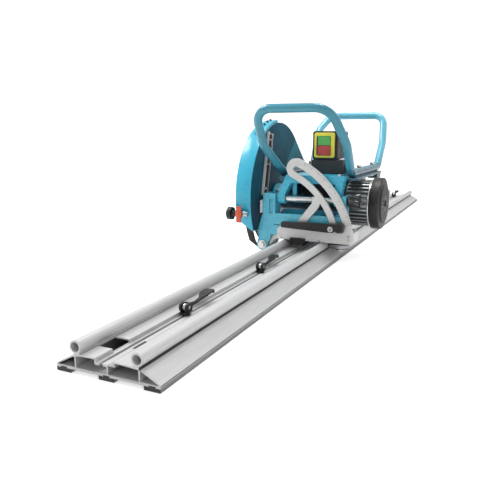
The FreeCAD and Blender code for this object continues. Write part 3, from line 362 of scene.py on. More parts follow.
def rail_aluminium():
    """Extruded aluminium: draw lines along the rail; painted contact shadows, painted shade on the
    outer feet's side faces and in the hollow chambers, a painted shadow line under the right tube.
    """
    rgb = (0.61, 0.61, 0.61)
    mat = Shader("rail_aluminium")
    line = mat.noise(scale=6, detail=5, roughness=0.65,
                     vector=mat.mapping(scale=(200, 2.2, 200)))
    blot = mat.noise(scale=14, detail=5, roughness=0.6)
    edge, rounded = mat.edges(radius=0.0006)
    x, y, z = mat.axes()[:3]
    facing = mat.normal_axes()

    def near(value, centre, reach):
        distance = mat.math("ABSOLUTE", mat.math("SUBTRACT", value, centre))
        return mat.invert(mat.step(distance, span=(reach, reach + 0.0006)))

    def pocket(across, height):
        """Mask of a box in the rail's section; each pair is (centre, reach) in x or z."""
        return mat.multiply(near(x, *across), near(z, *height))

    colour = mat.mix(mat.step(line, span=(0.3, 0.7)), shade(rgb, 0.90), shade(rgb, 1.06))
    colour = mat.stain(colour, blot, span=(0.50, 0.78), amount=0.08, other=shade(rgb, 0.6))
    colour = mat.tint(colour, edge, amount=0.4, other=shade(rgb, 1.3))
    off_centre = mat.math("ABSOLUTE", x)
    # painted shade: the outer feet's side faces are darkened
    foot = mat.multiply(mat.step(off_centre, span=(0.0978, 0.0986)),
                        mat.step(mat.math("ABSOLUTE", facing[0]), span=(0.45, 0.75)))
    colour = mat.tint(colour, foot, amount=0.9, other=(0.20, 0.20, 0.20))
    # contact shadows, mostly held off the slot
    slot = pocket(across=(-0.0095, 0.0042), height=(0.026, 0.0021))
    exposed = mat.openness(distance=0.009, span=(0.12, 0.52))
    gap = mat.multiply(mat.invert(exposed), mat.invert(mat.multiply(slot, 0.85)))
    colour = mat.tint(colour, gap, amount=0.88, other=(0.035, 0.035, 0.036))
    # painted shade: hollow chambers fall dark behind the sawn end
    deep = mat.step(y, span=(-1.249, -1.205))
    inside = mat.math("MAXIMUM",
                      pocket(across=(-0.0403, 0.0186), height=(0.0216, 0.0103)),
                      pocket(across=(0.0322, 0.0282), height=(0.0208, 0.0100)))
    floor = mat.multiply(near(z, centre=0.0118, reach=0.0003),
                         mat.step(facing[2], span=(0.5, 0.8)))
    outer_floor = mat.multiply(floor, mat.step(off_centre, span=(0.0612, 0.0616)))
    inside = mat.math("MAXIMUM", inside, outer_floor)
    dark = mat.mix(floor, mat.ramp(deep, span=(0, 1), to=(0.30, 0.86)),
                   mat.step(y, span=(-1.222, -1.200), to=(0.08, 0.86)))
    colour = mat.tint(colour, inside, dark, other=(0.05, 0.05, 0.052))
    # painted shadow: a black line in the narrow gap under the right tube
    groove = pocket(across=(0.0636, 0.0016), height=(0.0322, 0.0022))
    colour = mat.tint(colour, groove, amount=0.93, other=(0.02, 0.02, 0.02))
    roughness = mat.add(mat.ramp(line, span=(0.25, 0.75), to=(0.40, 0.52)),
                        mat.step(blot, span=(0.45, 0.8), to=(0, 0.10)))
    normal = mat.bump(line, strength=0.10, distance=0.0002, normal=rounded)
    mat.finish(colour, roughness, metal=0.22, normal=normal, flat=rgb)


def grey_rubber():
    """Weathered grey rubber strip, darker on the cut end faces."""
    mat = Shader("rubber_grey")
    grain = mat.noise(scale=700)
    cloud = mat.noise(scale=24, detail=5, roughness=0.65, vector=mat.mapping(scale=(1, 0.3, 1)))
    edge, rounded = mat.edges(radius=0.0006)
    facing = mat.normal_axes()
    colour = mat.mix(mat.step(cloud, span=(0.40, 0.72)), (0.235, 0.235, 0.24), (0.30, 0.30, 0.30))
    colour = mat.tint(colour, edge, amount=0.45, other=(0.42, 0.42, 0.42))
    end_face = mat.step(mat.math("ABSOLUTE", facing[1]), span=(0.8, 0.95))
    colour = mat.mix(end_face, colour, (0.055, 0.055, 0.058))
    mat.finish(colour, mat.ramp(cloud, span=(0.3, 0.7), to=(0.6, 0.8)), flat=(0.26, 0.26, 0.26),
               normal=mat.bump(grain, strength=0.3, distance=0.0003, normal=rounded))


def blade_steel():
    """Saw disc: fine circular grinding lines on the body, a coarse sintered rim."""
    mat = Shader("blade_steel")
    x, y, z = mat.axes()[:3]
    off_y = mat.add(y, -BLADE_Y * MM)
    off_z = mat.math("SUBTRACT", z, BLADE_Z * MM)
    squares = mat.add(mat.multiply(off_y, off_y), mat.multiply(off_z, off_z))
    radius = mat.math("SQRT", squares)
    combine = mat.new("CombineXYZ")
    mat.put(combine.inputs[0], mat.multiply(radius, 900.0))
    ring = mat.noise(scale=1, detail=4, roughness=0.7, vector=combine.outputs[0])
    blot = mat.noise(scale=16, detail=5)
    rim = mat.step(radius, span=(0.1415, 0.1425))
    body = mat.mix(mat.step(ring, span=(0.3, 0.7)), (0.42, 0.42, 0.43), (0.60, 0.60, 0.61))
    body = mat.stain(body, blot, span=(0.5, 0.8), amount=0.4, other=(0.26, 0.24, 0.22))
    grit = mat.noise(scale=1300)
    sintered = mat.mix(mat.step(grit, span=(0.4, 0.65)), (0.10, 0.09, 0.08), (0.34, 0.31, 0.27))
    colour = mat.mix(rim, body, sintered)
    roughness = mat.mix(rim, mat.ramp(ring, span=(0.3, 0.7), to=(0.22, 0.36)), 0.75)
    rounded = mat.edges(radius=0.0005)[1]
    normal = mat.bump(mat.mix(rim, ring, grit), strength=0.2, distance=0.0003, normal=rounded)
    metal = mat.invert(mat.multiply(rim, 0.5))
    mat.finish(colour, roughness, metal, normal, flat=(0.5, 0.5, 0.5))


# ------------------------------------------------------------------ the materials
paint("blue_paint", BLUE)
# handle paint: the far hoop is lighter as painted light, the straight rails darker as painted
# shade
paint("handle_blue", srgb(62, 142, 162), rough=0.20, wear=0.30, peel=0.6,
      zones=[(srgb(104, 186, 208), ("y", 0.03, 0.09)),
             (srgb(44, 98, 116), ("z", 0.275, 0.262))])
# bracket paint: a darker blue-grey copy of the blue as painted shade under the handle rails; the
# rear block darker still as painted shade
paint("bracket_paint", srgb(52, 104, 128), rough=0.32,
      zones=[(srgb(58, 66, 68), ("y", -0.0095, -0.0075))])
# bridge paint: near black behind the front beam and below the top, painted shade in the bridge's
# window
paint("bridge_paint", BLUE,
      zones=[(srgb(22, 30, 34), ("y", -0.304, -0.300), ("z", 0.2425, 0.2405))])
# housing paint: near black from x -0.12 on, painted shade in the bridge's window
paint("housing_paint", BLUE, rough=0.35, wear=0.4,
      zones=[(srgb(30, 42, 48), ("x", -0.126, -0.120))])
# tilt frame: a lighter copy of the blue paint, painted light
paint("frame_paint", srgb(82, 190, 216), rough=0.26)
paint("clamp_white", (0.72, 0.72, 0.76), rough=0.35, wear=0.8)
guard_blue()
rail_aluminium()
grey_rubber()
blade_steel()
rubber("rubber", (0.018, 0.018, 0.02))
rubber("hose_brown", (0.045, 0.026, 0.024))

# name, colour, roughness, stretch along x y z, grain scale, stain
BRUSHED = [
    ("zinc_steel", (0.68, 0.68, 0.66), 0.24, (3, 1, 3), 60, 0.2),
    ("roller_steel", (0.60, 0.60, 0.61), 0.22, (1, 1, 12), 60, 0.2),
    ("bronze", (0.55, 0.38, 0.17), 0.30, (1, 40, 1), 30, 0.25),
    ("ground_steel", (0.74, 0.74, 0.735), 0.20, (20, 1, 1), 60, 0.10),
    ("dull_steel", (0.34, 0.35, 0.36), 0.26, (1, 1, 12), 60, 0.25),
    ("laminations", (0.32, 0.32, 0.33), 0.4, (1, 12, 12), 90, 0.25),
    ("copper", (0.52, 0.20, 0.08), 0.35, (1, 40, 1), 30, 0.25),
    ("brass", (0.52, 0.60, 0.63), 0.26, (1, 40, 1), 30, 0.25),
]
# name, colour, roughness, metallic, grain scale, grain depth, stain, edge brightness
CASTINGS = [
    ("silver_paint", (0.70, 0.70, 0.69), 0.38, 0.40, 900, 0.00012, 0.12, 1.35),
    ("dark_casting", (0.050, 0.058, 0.064), 0.34, 0.6, 420, 0.0004, 0.35, 2.4),
    ("cast_aluminium", (0.74, 0.75, 0.76), 0.22, 0.95, 420, 0.0002, 0.18, 1.25),
    ("polished_shield", (0.92, 0.93, 0.94), 0.16, 1.0, 300, 0.00012, 0.10, 1.1),
    ("motor_alloy", (0.46, 0.475, 0.48), 0.30, 0.75, 420, 0.0002, 0.18, 1.5),
    ("galvanised", (0.80, 0.80, 0.80), 0.42, 0.25, 260, 0.0002, 0.15, 1.2),
]
# name, colour, roughness, texture, clear coat
PLASTICS = [
    ("black_plastic", (0.010, 0.010, 0.011), 0.40, 1.0, 0.0),
    ("nylon", (0.66, 0.66, 0.62), 0.35, 0.4, 0.0),
    ("gloss_black", (0.030, 0.031, 0.033), 0.22, 0.6, 0.5),
    ("grey_plastic", (0.026, 0.026, 0.028), 0.44, 1.2, 0.0),
    ("orange_plastic", srgb(214, 84, 52), 0.32, 0.5, 0.2),
    ("yellow_plastic", srgb(238, 224, 76), 0.35, 0.5, 0.15),
    ("green_plastic", srgb(84, 172, 84), 0.30, 0.4, 0.25),
    ("red_plastic", srgb(190, 62, 62), 0.30, 0.4, 0.25),
    ("cover_black", (0.016, 0.0145, 0.014), 0.46, 1.2, 0.0),
    ("ink", (0.03, 0.03, 0.032), 0.5, 0.3, 0.0),
]
for finish, table in ((brushed, BRUSHED), (cast, CASTINGS), (plastic, PLASTICS)):
    for row in table:
        finish(*row)

# ------------------------------------------------------------------ CAD pieces
# pieces whose material differs from the one their slot names
OWN_MATERIAL = {
    "handle_frame": "handle_blue", "guard_shell": "guard_blue",
    "guard_inner_plate": "guard_blue", "guard_top_bracket": "blue_paint",
    "fan_cover": "cover_black", "clamp_plate": "clamp_white",
    "guard_channel": "galvanised", "water_hose": "hose_brown",
    "rubber_strips": "rubber_grey", "bracket_screws": "cover_black",
    "spindle_housing": "housing_paint", "end_shield": "polished_shield",
    "handle_brackets": "bracket_paint", "guide_roller": "dull_steel",
    "plunge_lock_knob": "gloss_black", "tilt_frame": "frame_paint",
    "head_bridge": "bridge_paint", "motor_housing": "motor_alloy",
}
# bevel widths, mm
BEVELS = {
    "tilt_quadrant": 0.9, "carriage_base": 0.9, "tilt_frame": 1.2, "head_bridge": 1.6,
    "handle_brackets": 0.8, "switch_base": 1.6, "guard_shell": 1.1, "guard_top_bracket": 0.7,
    "clamp_plate": 0.7, "rail_bumper": 1.4, "tilt_lock_lever": 1.5, "plunge_lock_knob": 1.3,
    "tap_lever": 0.9, "tap_body": 0.5, "hose_coupling": 0.9, "cam_lever_near": 1.2,
    "cam_lever_middle": 1.2, "cam_lever_far": 1.2, "guard_channel": 0.4, "lever_screw": 0.6,
    "tilt_pivot_bolt": 0.7, "guide_roller": 0.7, "end_shield": 0.8, "fan_cover": 1.2,
    "arbor_nut": 0.7, "handle_bolts": 0.6, "quadrant_screws": 0.3, "stop_studs": 0.4,
    "guide_roller_bolt": 0.8, "splash_skirt": 0.5, "motor_housing": 0.35,
    "spindle_housing": 1.0, "plunge_rod": 0.8,
}


def soften_edges(piece, width):
    """Welds and cleans the CAD mesh, then bevels its sharp edges."""
    piece.modifiers.new("weld", "WELD").merge_threshold = 2e-6
    planar = piece.modifiers.new("planar", "DECIMATE")
    planar.decimate_type = "DISSOLVE"
    planar.angle_limit = math.radians(0.6)
    bevel = piece.modifiers.new("edges", "BEVEL")
    bevel.width = width * MM
    bevel.segments = 2
    bevel.limit_method = "ANGLE"
    bevel.angle_limit = math.radians(38)
    bevel.harden_normals = True
    bevel.miter_outer = "MITER_ARC"


slots = {part["node"]: part["material_slot"] for part in frame["record"]["subparts"]}
for name, piece in frame["nodes"].items():
    piece.data.materials.clear()
    piece.data.materials.append(MATERIALS[OWN_MATERIAL.get(name, slots[name])])
    if name in BEVELS:
        soften_edges(piece, BEVELS[name])


# ------------------------------------------------------------------ mesh helpers
def link_object(name, data):
    made = bpy.data.objects.new(name, data)
    bpy.context.scene.collection.objects.link(made)
    return made


def add_part(name, data, material, slot=None, body="head", angle=35):
    """Object riding on a body, smooth up to angle or flat with None; slot is not used."""
    part = link_object(name, data)
    data.materials.append(MATERIALS[material])
    if angle is not None:
        data.polygons.foreach_set("use_smooth", [True] * len(data.polygons))
        data.set_sharp_from_angle(angle=math.radians(angle))
    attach(part, body)
    return part


def mesh_part(name, mesh, *args, **options):
    data = bpy.data.meshes.new(name)
    bmesh.ops.recalc_face_normals(mesh, faces=mesh.faces)
    mesh.to_mesh(data)
    mesh.free()
    return add_part(name, data, *args, **options)


def circle_angles(count):
    return [2 * math.pi * i / count for i in range(count)]


def loft(mesh, rings, joined=False):
    """Skins rings of points in mm; the end rings are capped, or joined to each other."""
    loops = [[mesh.verts.new(Vector(point) * MM) for point in ring] for ring in rings]
    count = len(loops[0])
    following = loops[1:] + loops[:1] if joined else loops[1:]
    for first, second in zip(loops, following):
        for i in range(count):
            j = (i + 1) % count
            mesh.faces.new((first[i], first[j], second[j], second[i]))
    if not joined:
        mesh.faces.new(loops[0][::-1])
        mesh.faces.new(loops[-1])


def loft_part(name, rings, *args, joined=False, **options):
    mesh = bmesh.new()
    loft(mesh, rings, joined)
    return mesh_part(name, mesh, *args, **options)


def rounded_ring(rect, radius, y, inset=0.0):
    """Rounded rectangle at y. rect is (x low, x high, z low, z high)."""
    x_low, x_high, z_low, z_high = rect
    corners = ((x_high - radius, z_high - radius), (x_low + radius, z_high - radius),
               (x_low + radius, z_low + radius), (x_high - radius, z_low + radius))
    radius -= inset
    ring = []
    for quarter, (x, z) in enumerate(corners):
        for i in range(7):
            angle = math.radians(90 * quarter + 90 * i / 6)
            ring.append((x + radius * math.cos(angle), y, z + radius * math.sin(angle)))
    return ring


def rounded_box(name, rect, front, back, radius, edge, material):
    """Box with rounded corners seen along Y and soft front and back edges."""
    turns = [math.radians(90 * k / 3) for k in range(4)]
    rings = [rounded_ring(rect, radius, front + edge * (1 - math.cos(turn)),
                          edge * (1 - math.sin(turn))) for turn in turns]
    rings += [rounded_ring(rect, radius, back - edge * (1 - math.sin(turn)),
                           edge * (1 - math.cos(turn))) for turn in turns]
    return loft_part(name, rings, material)


def rounded_frame(name, outer, inner, radii, front, back, chamfer, *args):
    """Rectangular frame with softened front edges; radii are (outer, inner)."""
    profile = [(0, back), (0, front + chamfer),
               (0.3 * chamfer, front + 0.3 * chamfer), (chamfer, front)]
    rings = [rounded_ring(outer, radii[0], y, inset) for inset, y in profile]
    rings += [rounded_ring(inner, radii[1], y, -inset) for inset, y in reversed(profile)]
    return loft_part(name, rings, *args, joined=True)


# ------------------------------------------------------------------ handle tube
HANDLE_RIGHT, HANDLE_LEFT = 122, -92  # x of the two straight rails
RAIL_Z = 256
HANDLE_RADIUS = 12.45
# x, y, z, bend radius; the last point closes the loop on the first
HANDLE_PATH = [
    (HANDLE_RIGHT, -130, RAIL_Z, 0), (HANDLE_RIGHT, 56, RAIL_Z, 34),
    (HANDLE_RIGHT, 132, 340, 110), (111, 184, 431, 40), (-84, 184, 431, 50),
    (-109, 112, 378, 90), (HANDLE_LEFT, 8, RAIL_Z, 34), (HANDLE_LEFT, -286, RAIL_Z, 34),
    (-123, -366, 336, 60), (-126, -420, 438, 46), (92, -420, 438, 60),
    (126, -366, 340, 70), (HANDLE_RIGHT, -290, RAIL_Z, 36), (HANDLE_RIGHT, -130, RAIL_Z, 0),
]


def round_corners(stations, steps=12):
    """Points of a closed path with an arc at each corner; the closing point is left out."""
    points = [Vector(station[:3]) for station in stations]
    path = [points[0]]
    for before, corner, after, station in zip(points, points[1:], points[2:], stations[1:]):
        radius = station[3]
        backward = (before - corner).normalized()
        forward = (after - corner).normalized()
        angle = math.acos(max(-1, min(1, backward.dot(forward))))
        reach = radius / math.tan(angle / 2)
        centre = corner + (backward + forward).normalized() * (radius / math.sin(angle / 2))
        spoke = (corner + backward * reach - centre).normalized()
        last_spoke = (corner + forward * reach - centre).normalized()
        axis = spoke.cross(last_spoke).normalized()
        for i in range(steps + 1):
            turn = Matrix.Rotation((math.pi - angle) * i / steps, 3, axis)
            path.append(centre + (turn @ spoke) * radius)
    return path


def handle_tube():
    path = round_corners(HANDLE_PATH)
    curve = bpy.data.curves.new("handle_tube_c", "CURVE")
    curve.dimensions = "3D"
    curve.bevel_depth = HANDLE_RADIUS * MM
    curve.bevel_resolution = 8
    spline = curve.splines.new("POLY")
    spline.points.add(len(path) - 1)
    for target, point in zip(spline.points, path):
        target.co = (point[0] * MM, point[1] * MM, point[2] * MM, 1)
    spline.use_cyclic_u = True
    temporary = link_object("handle_tube_t", curve)
    depsgraph = bpy.context.evaluated_depsgraph_get()
    data = bpy.data.meshes.new_from_object(temporary.evaluated_get(depsgraph))
    bpy.data.objects.remove(temporary)
    data.name = "handle_tube"
    data.materials.clear()
    tube = add_part("handle_tube", data, "handle_blue", "blue_paint", angle=50)
    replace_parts(tube, "handle_frame")


handle_tube()


# ------------------------------------------------------------------ switch
def switch_box():
    cover = rounded_box("switch_cover", rect=(-10, 67, 291, 376.6), front=-250, back=-222,
                        radius=6.5, edge=1.6, material="black_plastic")
    back_box = rounded_box("switch_back_box", rect=(-9, 66, 292, 375.6), front=-221.4,
                           back=-128.2, radius=6.0, edge=1.4, material="black_plastic")
    seal = [rounded_ring((-8.2, 65.2, 292.8, 374.8), radius=5.5, y=y) for y in (-222.2, -221.0)]
    loft_part("switch_seal", seal, "rubber")
    for part in (cover, back_box):
        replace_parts(part, "switch_box")


def switch_frames():
    bezel = rounded_frame("switch_bezel_frame", (-4, 59, 298, 372), (3, 47, 305, 362),
                          (6, 2.5), -254, -250.02, 1.2, "yellow_plastic")
    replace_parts(bezel, "switch_bezel")
    rounded_frame("switch_button_well", (1.5, 48.5, 303.5, 363.5), (7.2, 46.6, 305.2, 361.8),
                  (2.6, 2.0), -252.6, -249.0, 0.4, "ink", "black_plastic")


BUTTON_X = (7.6, 46.2)
BUTTON_BACK = -244
BUTTON_DISH = 1.3
BUTTON_CELLS = 12


def button(name, z_low, z_high, face_y, material, body):
    """Push button with a dished front and a rounded-off rim."""
    mesh = bmesh.new()
    last = BUTTON_CELLS
    x_low, x_high = BUTTON_X
    front = []
    for i in range(last + 1):
        column = []
        for j in range(last + 1):
            u, v = i / last, j / last
            across, up = 2 * u - 1, 2 * v - 1
            dish = BUTTON_DISH * (1 - across * across) * (1 - up * up)
            rim = 0.9 * max(0.0, (max(abs(across), abs(up)) - 0.82) / 0.18) ** 2
            point = (x_low + (x_high - x_low) * u, face_y + dish + rim,
                     z_low + (z_high - z_low) * v)
            column.append(mesh.verts.new(Vector(point) * MM))
        front.append(column)
    for left, right in zip(front, front[1:]):
        for j in range(last):
            mesh.faces.new((left[j], right[j], right[j + 1], left[j + 1]))
    border = [front[i][0] for i in range(last)] + [front[last][j] for j in range(last)]
    border += [front[i][last] for i in range(last, 0, -1)]
    border += [front[0][j] for j in range(last, 0, -1)]
    back = [mesh.verts.new(Vector((v.co.x, BUTTON_BACK * MM, v.co.z))) for v in border]
    for i in range(len(border)):
        j = (i + 1) % len(border)
        mesh.faces.new((border[i], border[j], back[j], back[i]))
    mesh.faces.new(back)
    return mesh_part(name, mesh, material, body=body, angle=50)


switch_box()
switch_frames()
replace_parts(button("start_button_cap", 334.3, 361.4, -255.5, "green_plastic", "start_button"),
            "button_start")
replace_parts(button("stop_button_cap", 305.6, 333.1, -258, "red_plastic", "stop_button"),
            "button_stop")

# ------------------------------------------------------------------ quadrant scale
SCALE_CENTRE = (-134.0, -354.0, 35.0)
SCALE_RADIUS = 287.2  # outer ends of the strokes
SCALE_START = 16.4    # degrees above +X
STROKE_RAISE = 0.12


def degree_strokes():
    """Raised strokes for 0 to 45 degrees, longer at every 5 and 15."""
    mesh = bmesh.new()
    centre = Vector(SCALE_CENTRE)
    for degree in range(46):
        length = 9.5 if degree % 15 == 0 else 7.0 if degree % 5 == 0 else 4.0
        half_width = 0.42 if degree % 5 == 0 else 0.26
        angle = math.radians(SCALE_START + degree)
        radial = Vector((math.cos(angle), 0, math.sin(angle)))
        sideways = Vector((-math.sin(angle), 0, math.cos(angle)))
        inner = SCALE_RADIUS - length
        corners = [centre + radial * radius + sideways * side
                   for radius, side in ((inner, -half_width), (SCALE_RADIUS, -half_width),
                                        (SCALE_RADIUS, half_width), (inner, half_width))]
        loft(mesh, [corners, [corner + Vector((0, -STROKE_RAISE, 0)) for corner in corners]])
    mesh_part("degree_strokes", mesh, "ink", "silver_paint", body="carriage", angle=None)


degree_strokes()

# ------------------------------------------------------------------ small parts
APRON_LEFT, APRON_WIDTH = -37.5, 117
APRON_Y = -229.0
APRON_HALF = 1.5   # half the thickness
APRON_BULGE = 6.0  # towards the front at mid height
APRON_RIB = 1.6    # height of the ribs, one to every four columns
APRON_COLUMNS = 56
APRON_LEVELS = (150, 156, 170, 186, 204, 226, 242.5)  # z of the rows


def bridge_shade_apron():
    """Ribbed rubber apron that closes the bridge behind the plunge rod, a dark sheet standing in
    for the shade in the bridge's window.
    """
    mesh = bmesh.new()
    bottom, top = APRON_LEVELS[0], APRON_LEVELS[-1]
    front, back = [], []
    for i in range(APRON_COLUMNS + 1):
        x = APRON_LEFT + APRON_WIDTH * i / APRON_COLUMNS
        rib = APRON_RIB * math.sin(i * math.pi * 2 / 4)
        front.append([])
        back.append([])
        for z in APRON_LEVELS:
            y = APRON_Y - APRON_BULGE * math.sin(math.pi * (z - bottom) / (top - bottom))
            for side, offset in ((front, -APRON_HALF), (back, APRON_HALF)):
                side[-1].append(mesh.verts.new(Vector((x, y + offset + rib, z)) * MM))
    rows = len(APRON_LEVELS) - 1
    for i in range(APRON_COLUMNS):
        near, near_next, far, far_next = front[i], front[i + 1], back[i], back[i + 1]
        for j in range(rows):
            mesh.faces.new((near[j], near_next[j], near_next[j + 1], near[j + 1]))
            mesh.faces.new((far[j], far[j + 1], far_next[j + 1], far_next[j]))
        mesh.faces.new((near[0], far[0], far_next[0], near_next[0]))
        mesh.faces.new((near[rows], near_next[rows], far_next[rows], far[rows]))
    for near, far in ((front[0], back[0]), (front[-1], back[-1])):
        for j in range(rows):
            mesh.faces.new((near[j], near[j + 1], far[j + 1], far[j]))
    mesh_part("bridge_shade_apron", mesh, "rubber", angle=80)


GLAND_Y, GLAND_Z = -208, 268
# x, radius
GLAND_PROFILE = [(86, 0.5), (86, 8.5), (86.6, 9), (90.4, 9), (91, 8.5), (91, 6.6),
                 (94.5, 6.2), (95.5, 5.2), (95.5, 3.7), (95.5, 0.5)]


def cable_gland():
    """Cable gland on the switch base, turned about X."""
    rings = [[(x, GLAND_Y + radius * math.cos(a), GLAND_Z + radius * math.sin(a))
              for a in circle_angles(24)] for x, radius in GLAND_PROFILE]
    loft_part("cable_gland", rings, "black_plastic")


STIFFENER_FOOT = (-304, 180)            # y, z of its lower end
STIFFENER_SLOPE = math.atan2(47, 205)   # lean from Z towards +Y
CLIP_X = -150 + 6.6
CLIP_FIRST, CLIP_PITCH = 22, 76         # along the stiffener
CLIP_OUTER, CLIP_INNER = 5.3, 4.5       # radii
CLIP_HALF_WIDTH = 2.2


def hose_clips():
    """Three open clips on the sloping stiffener of the guard."""
    sin, cos = math.sin(STIFFENER_SLOPE), math.cos(STIFFENER_SLOPE)
    arc = [math.radians(-20 + 220 * i / 12) for i in range(13)]
    outline = [(CLIP_X + radius * math.sin(a), radius * math.cos(a))
               for radius, angles in ((CLIP_OUTER, arc), (CLIP_INNER, arc[::-1]))
               for a in angles]
    for index in range(3):
        along = CLIP_FIRST + CLIP_PITCH * index
        y = STIFFENER_FOOT[0] + along * sin
        z = STIFFENER_FOOT[1] + along * cos
        rings = [[(x, y + w * sin + u * cos, z + w * cos - u * sin) for x, u in outline]
                 for w in (-CLIP_HALF_WIDTH, CLIP_HALF_WIDTH)]
        loft_part("hose_clip_%d" % (index + 1), rings, "zinc_steel", angle=None)


BEAD_START, BEAD_LENGTH = -276, 268  # along y
BEAD_STEPS = 90
BEAD_OFFSET = 8.0                    # to either side of the tube's axis
BEAD_Z = 244.2


def weld_beads():
    """Uneven beads under both sides of each straight rail of the handle."""
    for index, rail_x in enumerate((HANDLE_RIGHT, HANDLE_LEFT), 1):
        for letter, offset in (("a", -BEAD_OFFSET), ("b", BEAD_OFFSET)):
            rings = []
            for i in range(BEAD_STEPS + 1):
                y = BEAD_START + BEAD_LENGTH * i / BEAD_STEPS
                radius = 1.7 + 0.35 * math.sin(i * 1.9) + 0.15 * math.sin(i * 0.7 + 1)
                rings.append([(rail_x + offset + radius * math.cos(a),
                               y + 0.5 * math.cos(a * 2), BEAD_Z + radius * math.sin(a))
                              for a in circle_angles(10)])
            loft_part("weld_bead_%d_%s" % (index, letter), rings,
                      "handle_blue", "blue_paint", angle=70)


WASHER_HEIGHT = 1.1
# radius and height, as shares of the head's
CAP_PROFILE = [(1.0, 0), (1.0, 0.7), (0.92, 0.92), (0.78, 1.0), (0.55, 1.0), (0.52, 0.95),
               (0.50, 0.5)]


def cap_screw(name, place, axis, radius, height):
    """Domed socket head over a washer, standing on place along axis."""
    turn = Vector(axis).normalized().to_track_quat("Z", "Y").to_matrix()

    def ring(share, rise):
        size = radius * share
        return [Vector(place) + turn @ Vector((size * math.cos(a), size * math.sin(a), rise))
                for a in circle_angles(28)]

    mesh = bmesh.new()
    loft(mesh, [ring(1.45, 0), ring(1.42, WASHER_HEIGHT)])
    loft(mesh, [ring(share, WASHER_HEIGHT + height * rise) for share, rise in CAP_PROFILE])
    mesh_part(name, mesh, "zinc_steel", angle=30)


FLANGE_X = -138.0
FLANGE_CIRCLE = 41  # radius of the screw circle about the blade axis
BRIDGE_SCREW_Y, BRIDGE_TOP = -320, 250.0


def screws():
    """Four screws on the guard's bearing flange, two on top of the bridge."""
    for i in range(4):
        angle = math.radians(45 + 90 * i)
        place = (FLANGE_X, BLADE_Y + FLANGE_CIRCLE * math.cos(angle),
                 BLADE_Z + FLANGE_CIRCLE * math.sin(angle))
        cap_screw("flange_screw_%d" % (i + 1), place, axis=(1, 0, 0), radius=4.2, height=4.5)
    for i, x in enumerate((-40, 96), 1):
        cap_screw("bridge_screw_%d" % i, (x, BRIDGE_SCREW_Y, BRIDGE_TOP), axis=(0, 0, 1),
                  radius=4.5, height=4.0)


bridge_shade_apron()
cable_gland()
hose_clips()
weld_beads()
screws()

# ------------------------------------------------------------------ stage, light, camera
FLOOR_RADIUS = 7.5  # flat part, m
COVE_RADIUS = 3.0
WALL_TOP = 9.0


def studio_floor():
    """Round studio: a flat floor that curves up into a wall all the way round."""
    mesh = bmesh.new()
    profile = [(0.6, 0.0), (3.0, 0.0), (FLOOR_RADIUS, 0.0)]
    for degrees in range(6, 91, 6):
        angle = math.radians(degrees)
        profile.append((FLOOR_RADIUS + COVE_RADIUS * math.sin(angle),
                        COVE_RADIUS - COVE_RADIUS * math.cos(angle)))
    profile.append((FLOOR_RADIUS + COVE_RADIUS, WALL_TOP))
    count = 96
    middle = mesh.verts.new((0, 0, 0))
    rings = [[mesh.verts.new((radius * math.cos(a), radius * math.sin(a), z))
              for a in circle_angles(count)] for radius, z in profile]
    for i in range(count):
        mesh.faces.new((middle, rings[0][i], rings[0][(i + 1) % count]))
    for inner, outer in zip(rings, rings[1:]):
        for i in range(count):
            j = (i + 1) % count
            mesh.faces.new((inner[i], outer[i], outer[j], inner[j]))
    data = bpy.data.meshes.new("studio_floor")
    mesh.to_mesh(data)
    mesh.free()
    data.polygons.foreach_set("use_smooth", [True] * len(data.polygons))
    floor = link_object("studio_floor", data)
    # the floor glows: brightly for the camera, faintly as a light on the saw
    mat = Shader("floor")
    cloud = mat.noise(scale=2)
    light_path = mat.new("LightPath")
    cast_glow = mat.step(mat.axes()[2], span=(0.05, 2.4), to=(0.03, 0.13))
    seen_glow = mat.step(mat.axes()[2], span=(0.05, 2.4), to=(0.62, 0.86))
    glow = mat.mix(light_path.outputs["Is Camera Ray"], cast_glow, seen_glow)
    mat.finish(mat.mix(cloud, (0.90, 0.90, 0.90), (0.93, 0.93, 0.93)), rough=0.75,
               Emission_Color=(1.0, 1.0, 1.0), Emission_Strength=glow)
    data.materials.append(mat.material)


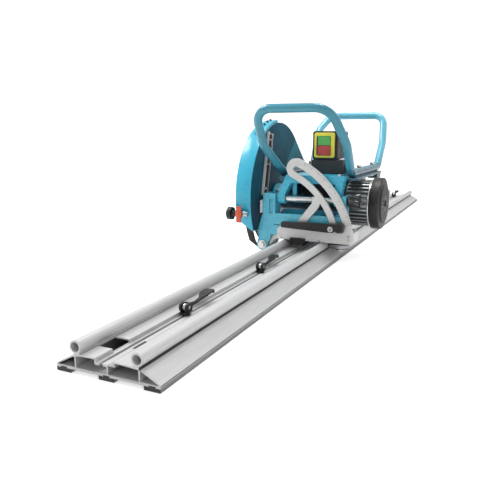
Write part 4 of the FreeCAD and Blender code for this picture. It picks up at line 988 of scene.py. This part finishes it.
def studio_world(scene):
    """Sky light that brightens from grey to white with height."""
    world = bpy.data.worlds.new("studio")
    scene.world = world
    world.use_nodes = True
    nodes, links = world.node_tree.nodes, world.node_tree.links
    nodes.clear()
    output = nodes.new("ShaderNodeOutputWorld")
    background = nodes.new("ShaderNodeBackground")
    coords = nodes.new("ShaderNodeTexCoord")
    axes = nodes.new("ShaderNodeSeparateXYZ")
    ramp = nodes.new("ShaderNodeValToRGB")
    low, high = ramp.color_ramp.elements
    low.position = 0.0
    low.color = (0.42, 0.43, 0.45, 1)
    high.position = 0.75
    high.color = (1.0, 1.0, 1.0, 1)
    background.inputs["Strength"].default_value = 0.55
    links.new(coords.outputs["Generated"], axes.inputs[0])
    links.new(axes.outputs[2], ramp.inputs[0])
    links.new(ramp.outputs[0], background.inputs[0])
    links.new(background.outputs[0], output.inputs[0])


def aim(thing, direction):
    thing.rotation_euler = direction.to_track_quat("-Z", "Y").to_euler()


# name, place, target, size, watts
LIGHTS = [
    ("key", (-2.1, -0.6, 2.6), (-0.05, -0.25, 0.2), 1.3, 62),
    ("top", (-0.1, 0.25, 2.8), (0.0, -0.3, 0.2), 1.0, 38),
    ("fill", (2.0, -2.6, 1.2), (0, -0.3, 0.2), 1.6, 5),
    ("rim", (1.8, 1.8, 1.9), (0, -0.2, 0.25), 1.4, 10),
]


def lights():
    for name, place, target, size, watts in LIGHTS:
        light = bpy.data.lights.new(name, "AREA")
        light.energy = watts
        light.size = size
        lamp = link_object(name, light)
        lamp.location = place
        aim(lamp, Vector(target) - Vector(place))


def camera(scene):
    lens = bpy.data.cameras.new("cam")
    holder = link_object("cam", lens)
    holder.location = (0.5292, -1.8666, 0.3766)
    aim(holder, Vector((-0.4109, 0.8867, -0.2120)))
    lens.lens = 39.48
    lens.sensor_width = 36
    lens.clip_start = 0.02
    scene.camera = holder


scene = bpy.context.scene
studio_floor()
studio_world(scene)
lights()
camera(scene)
scene.view_settings.view_transform = "Standard"
scene.view_settings.look = "None"
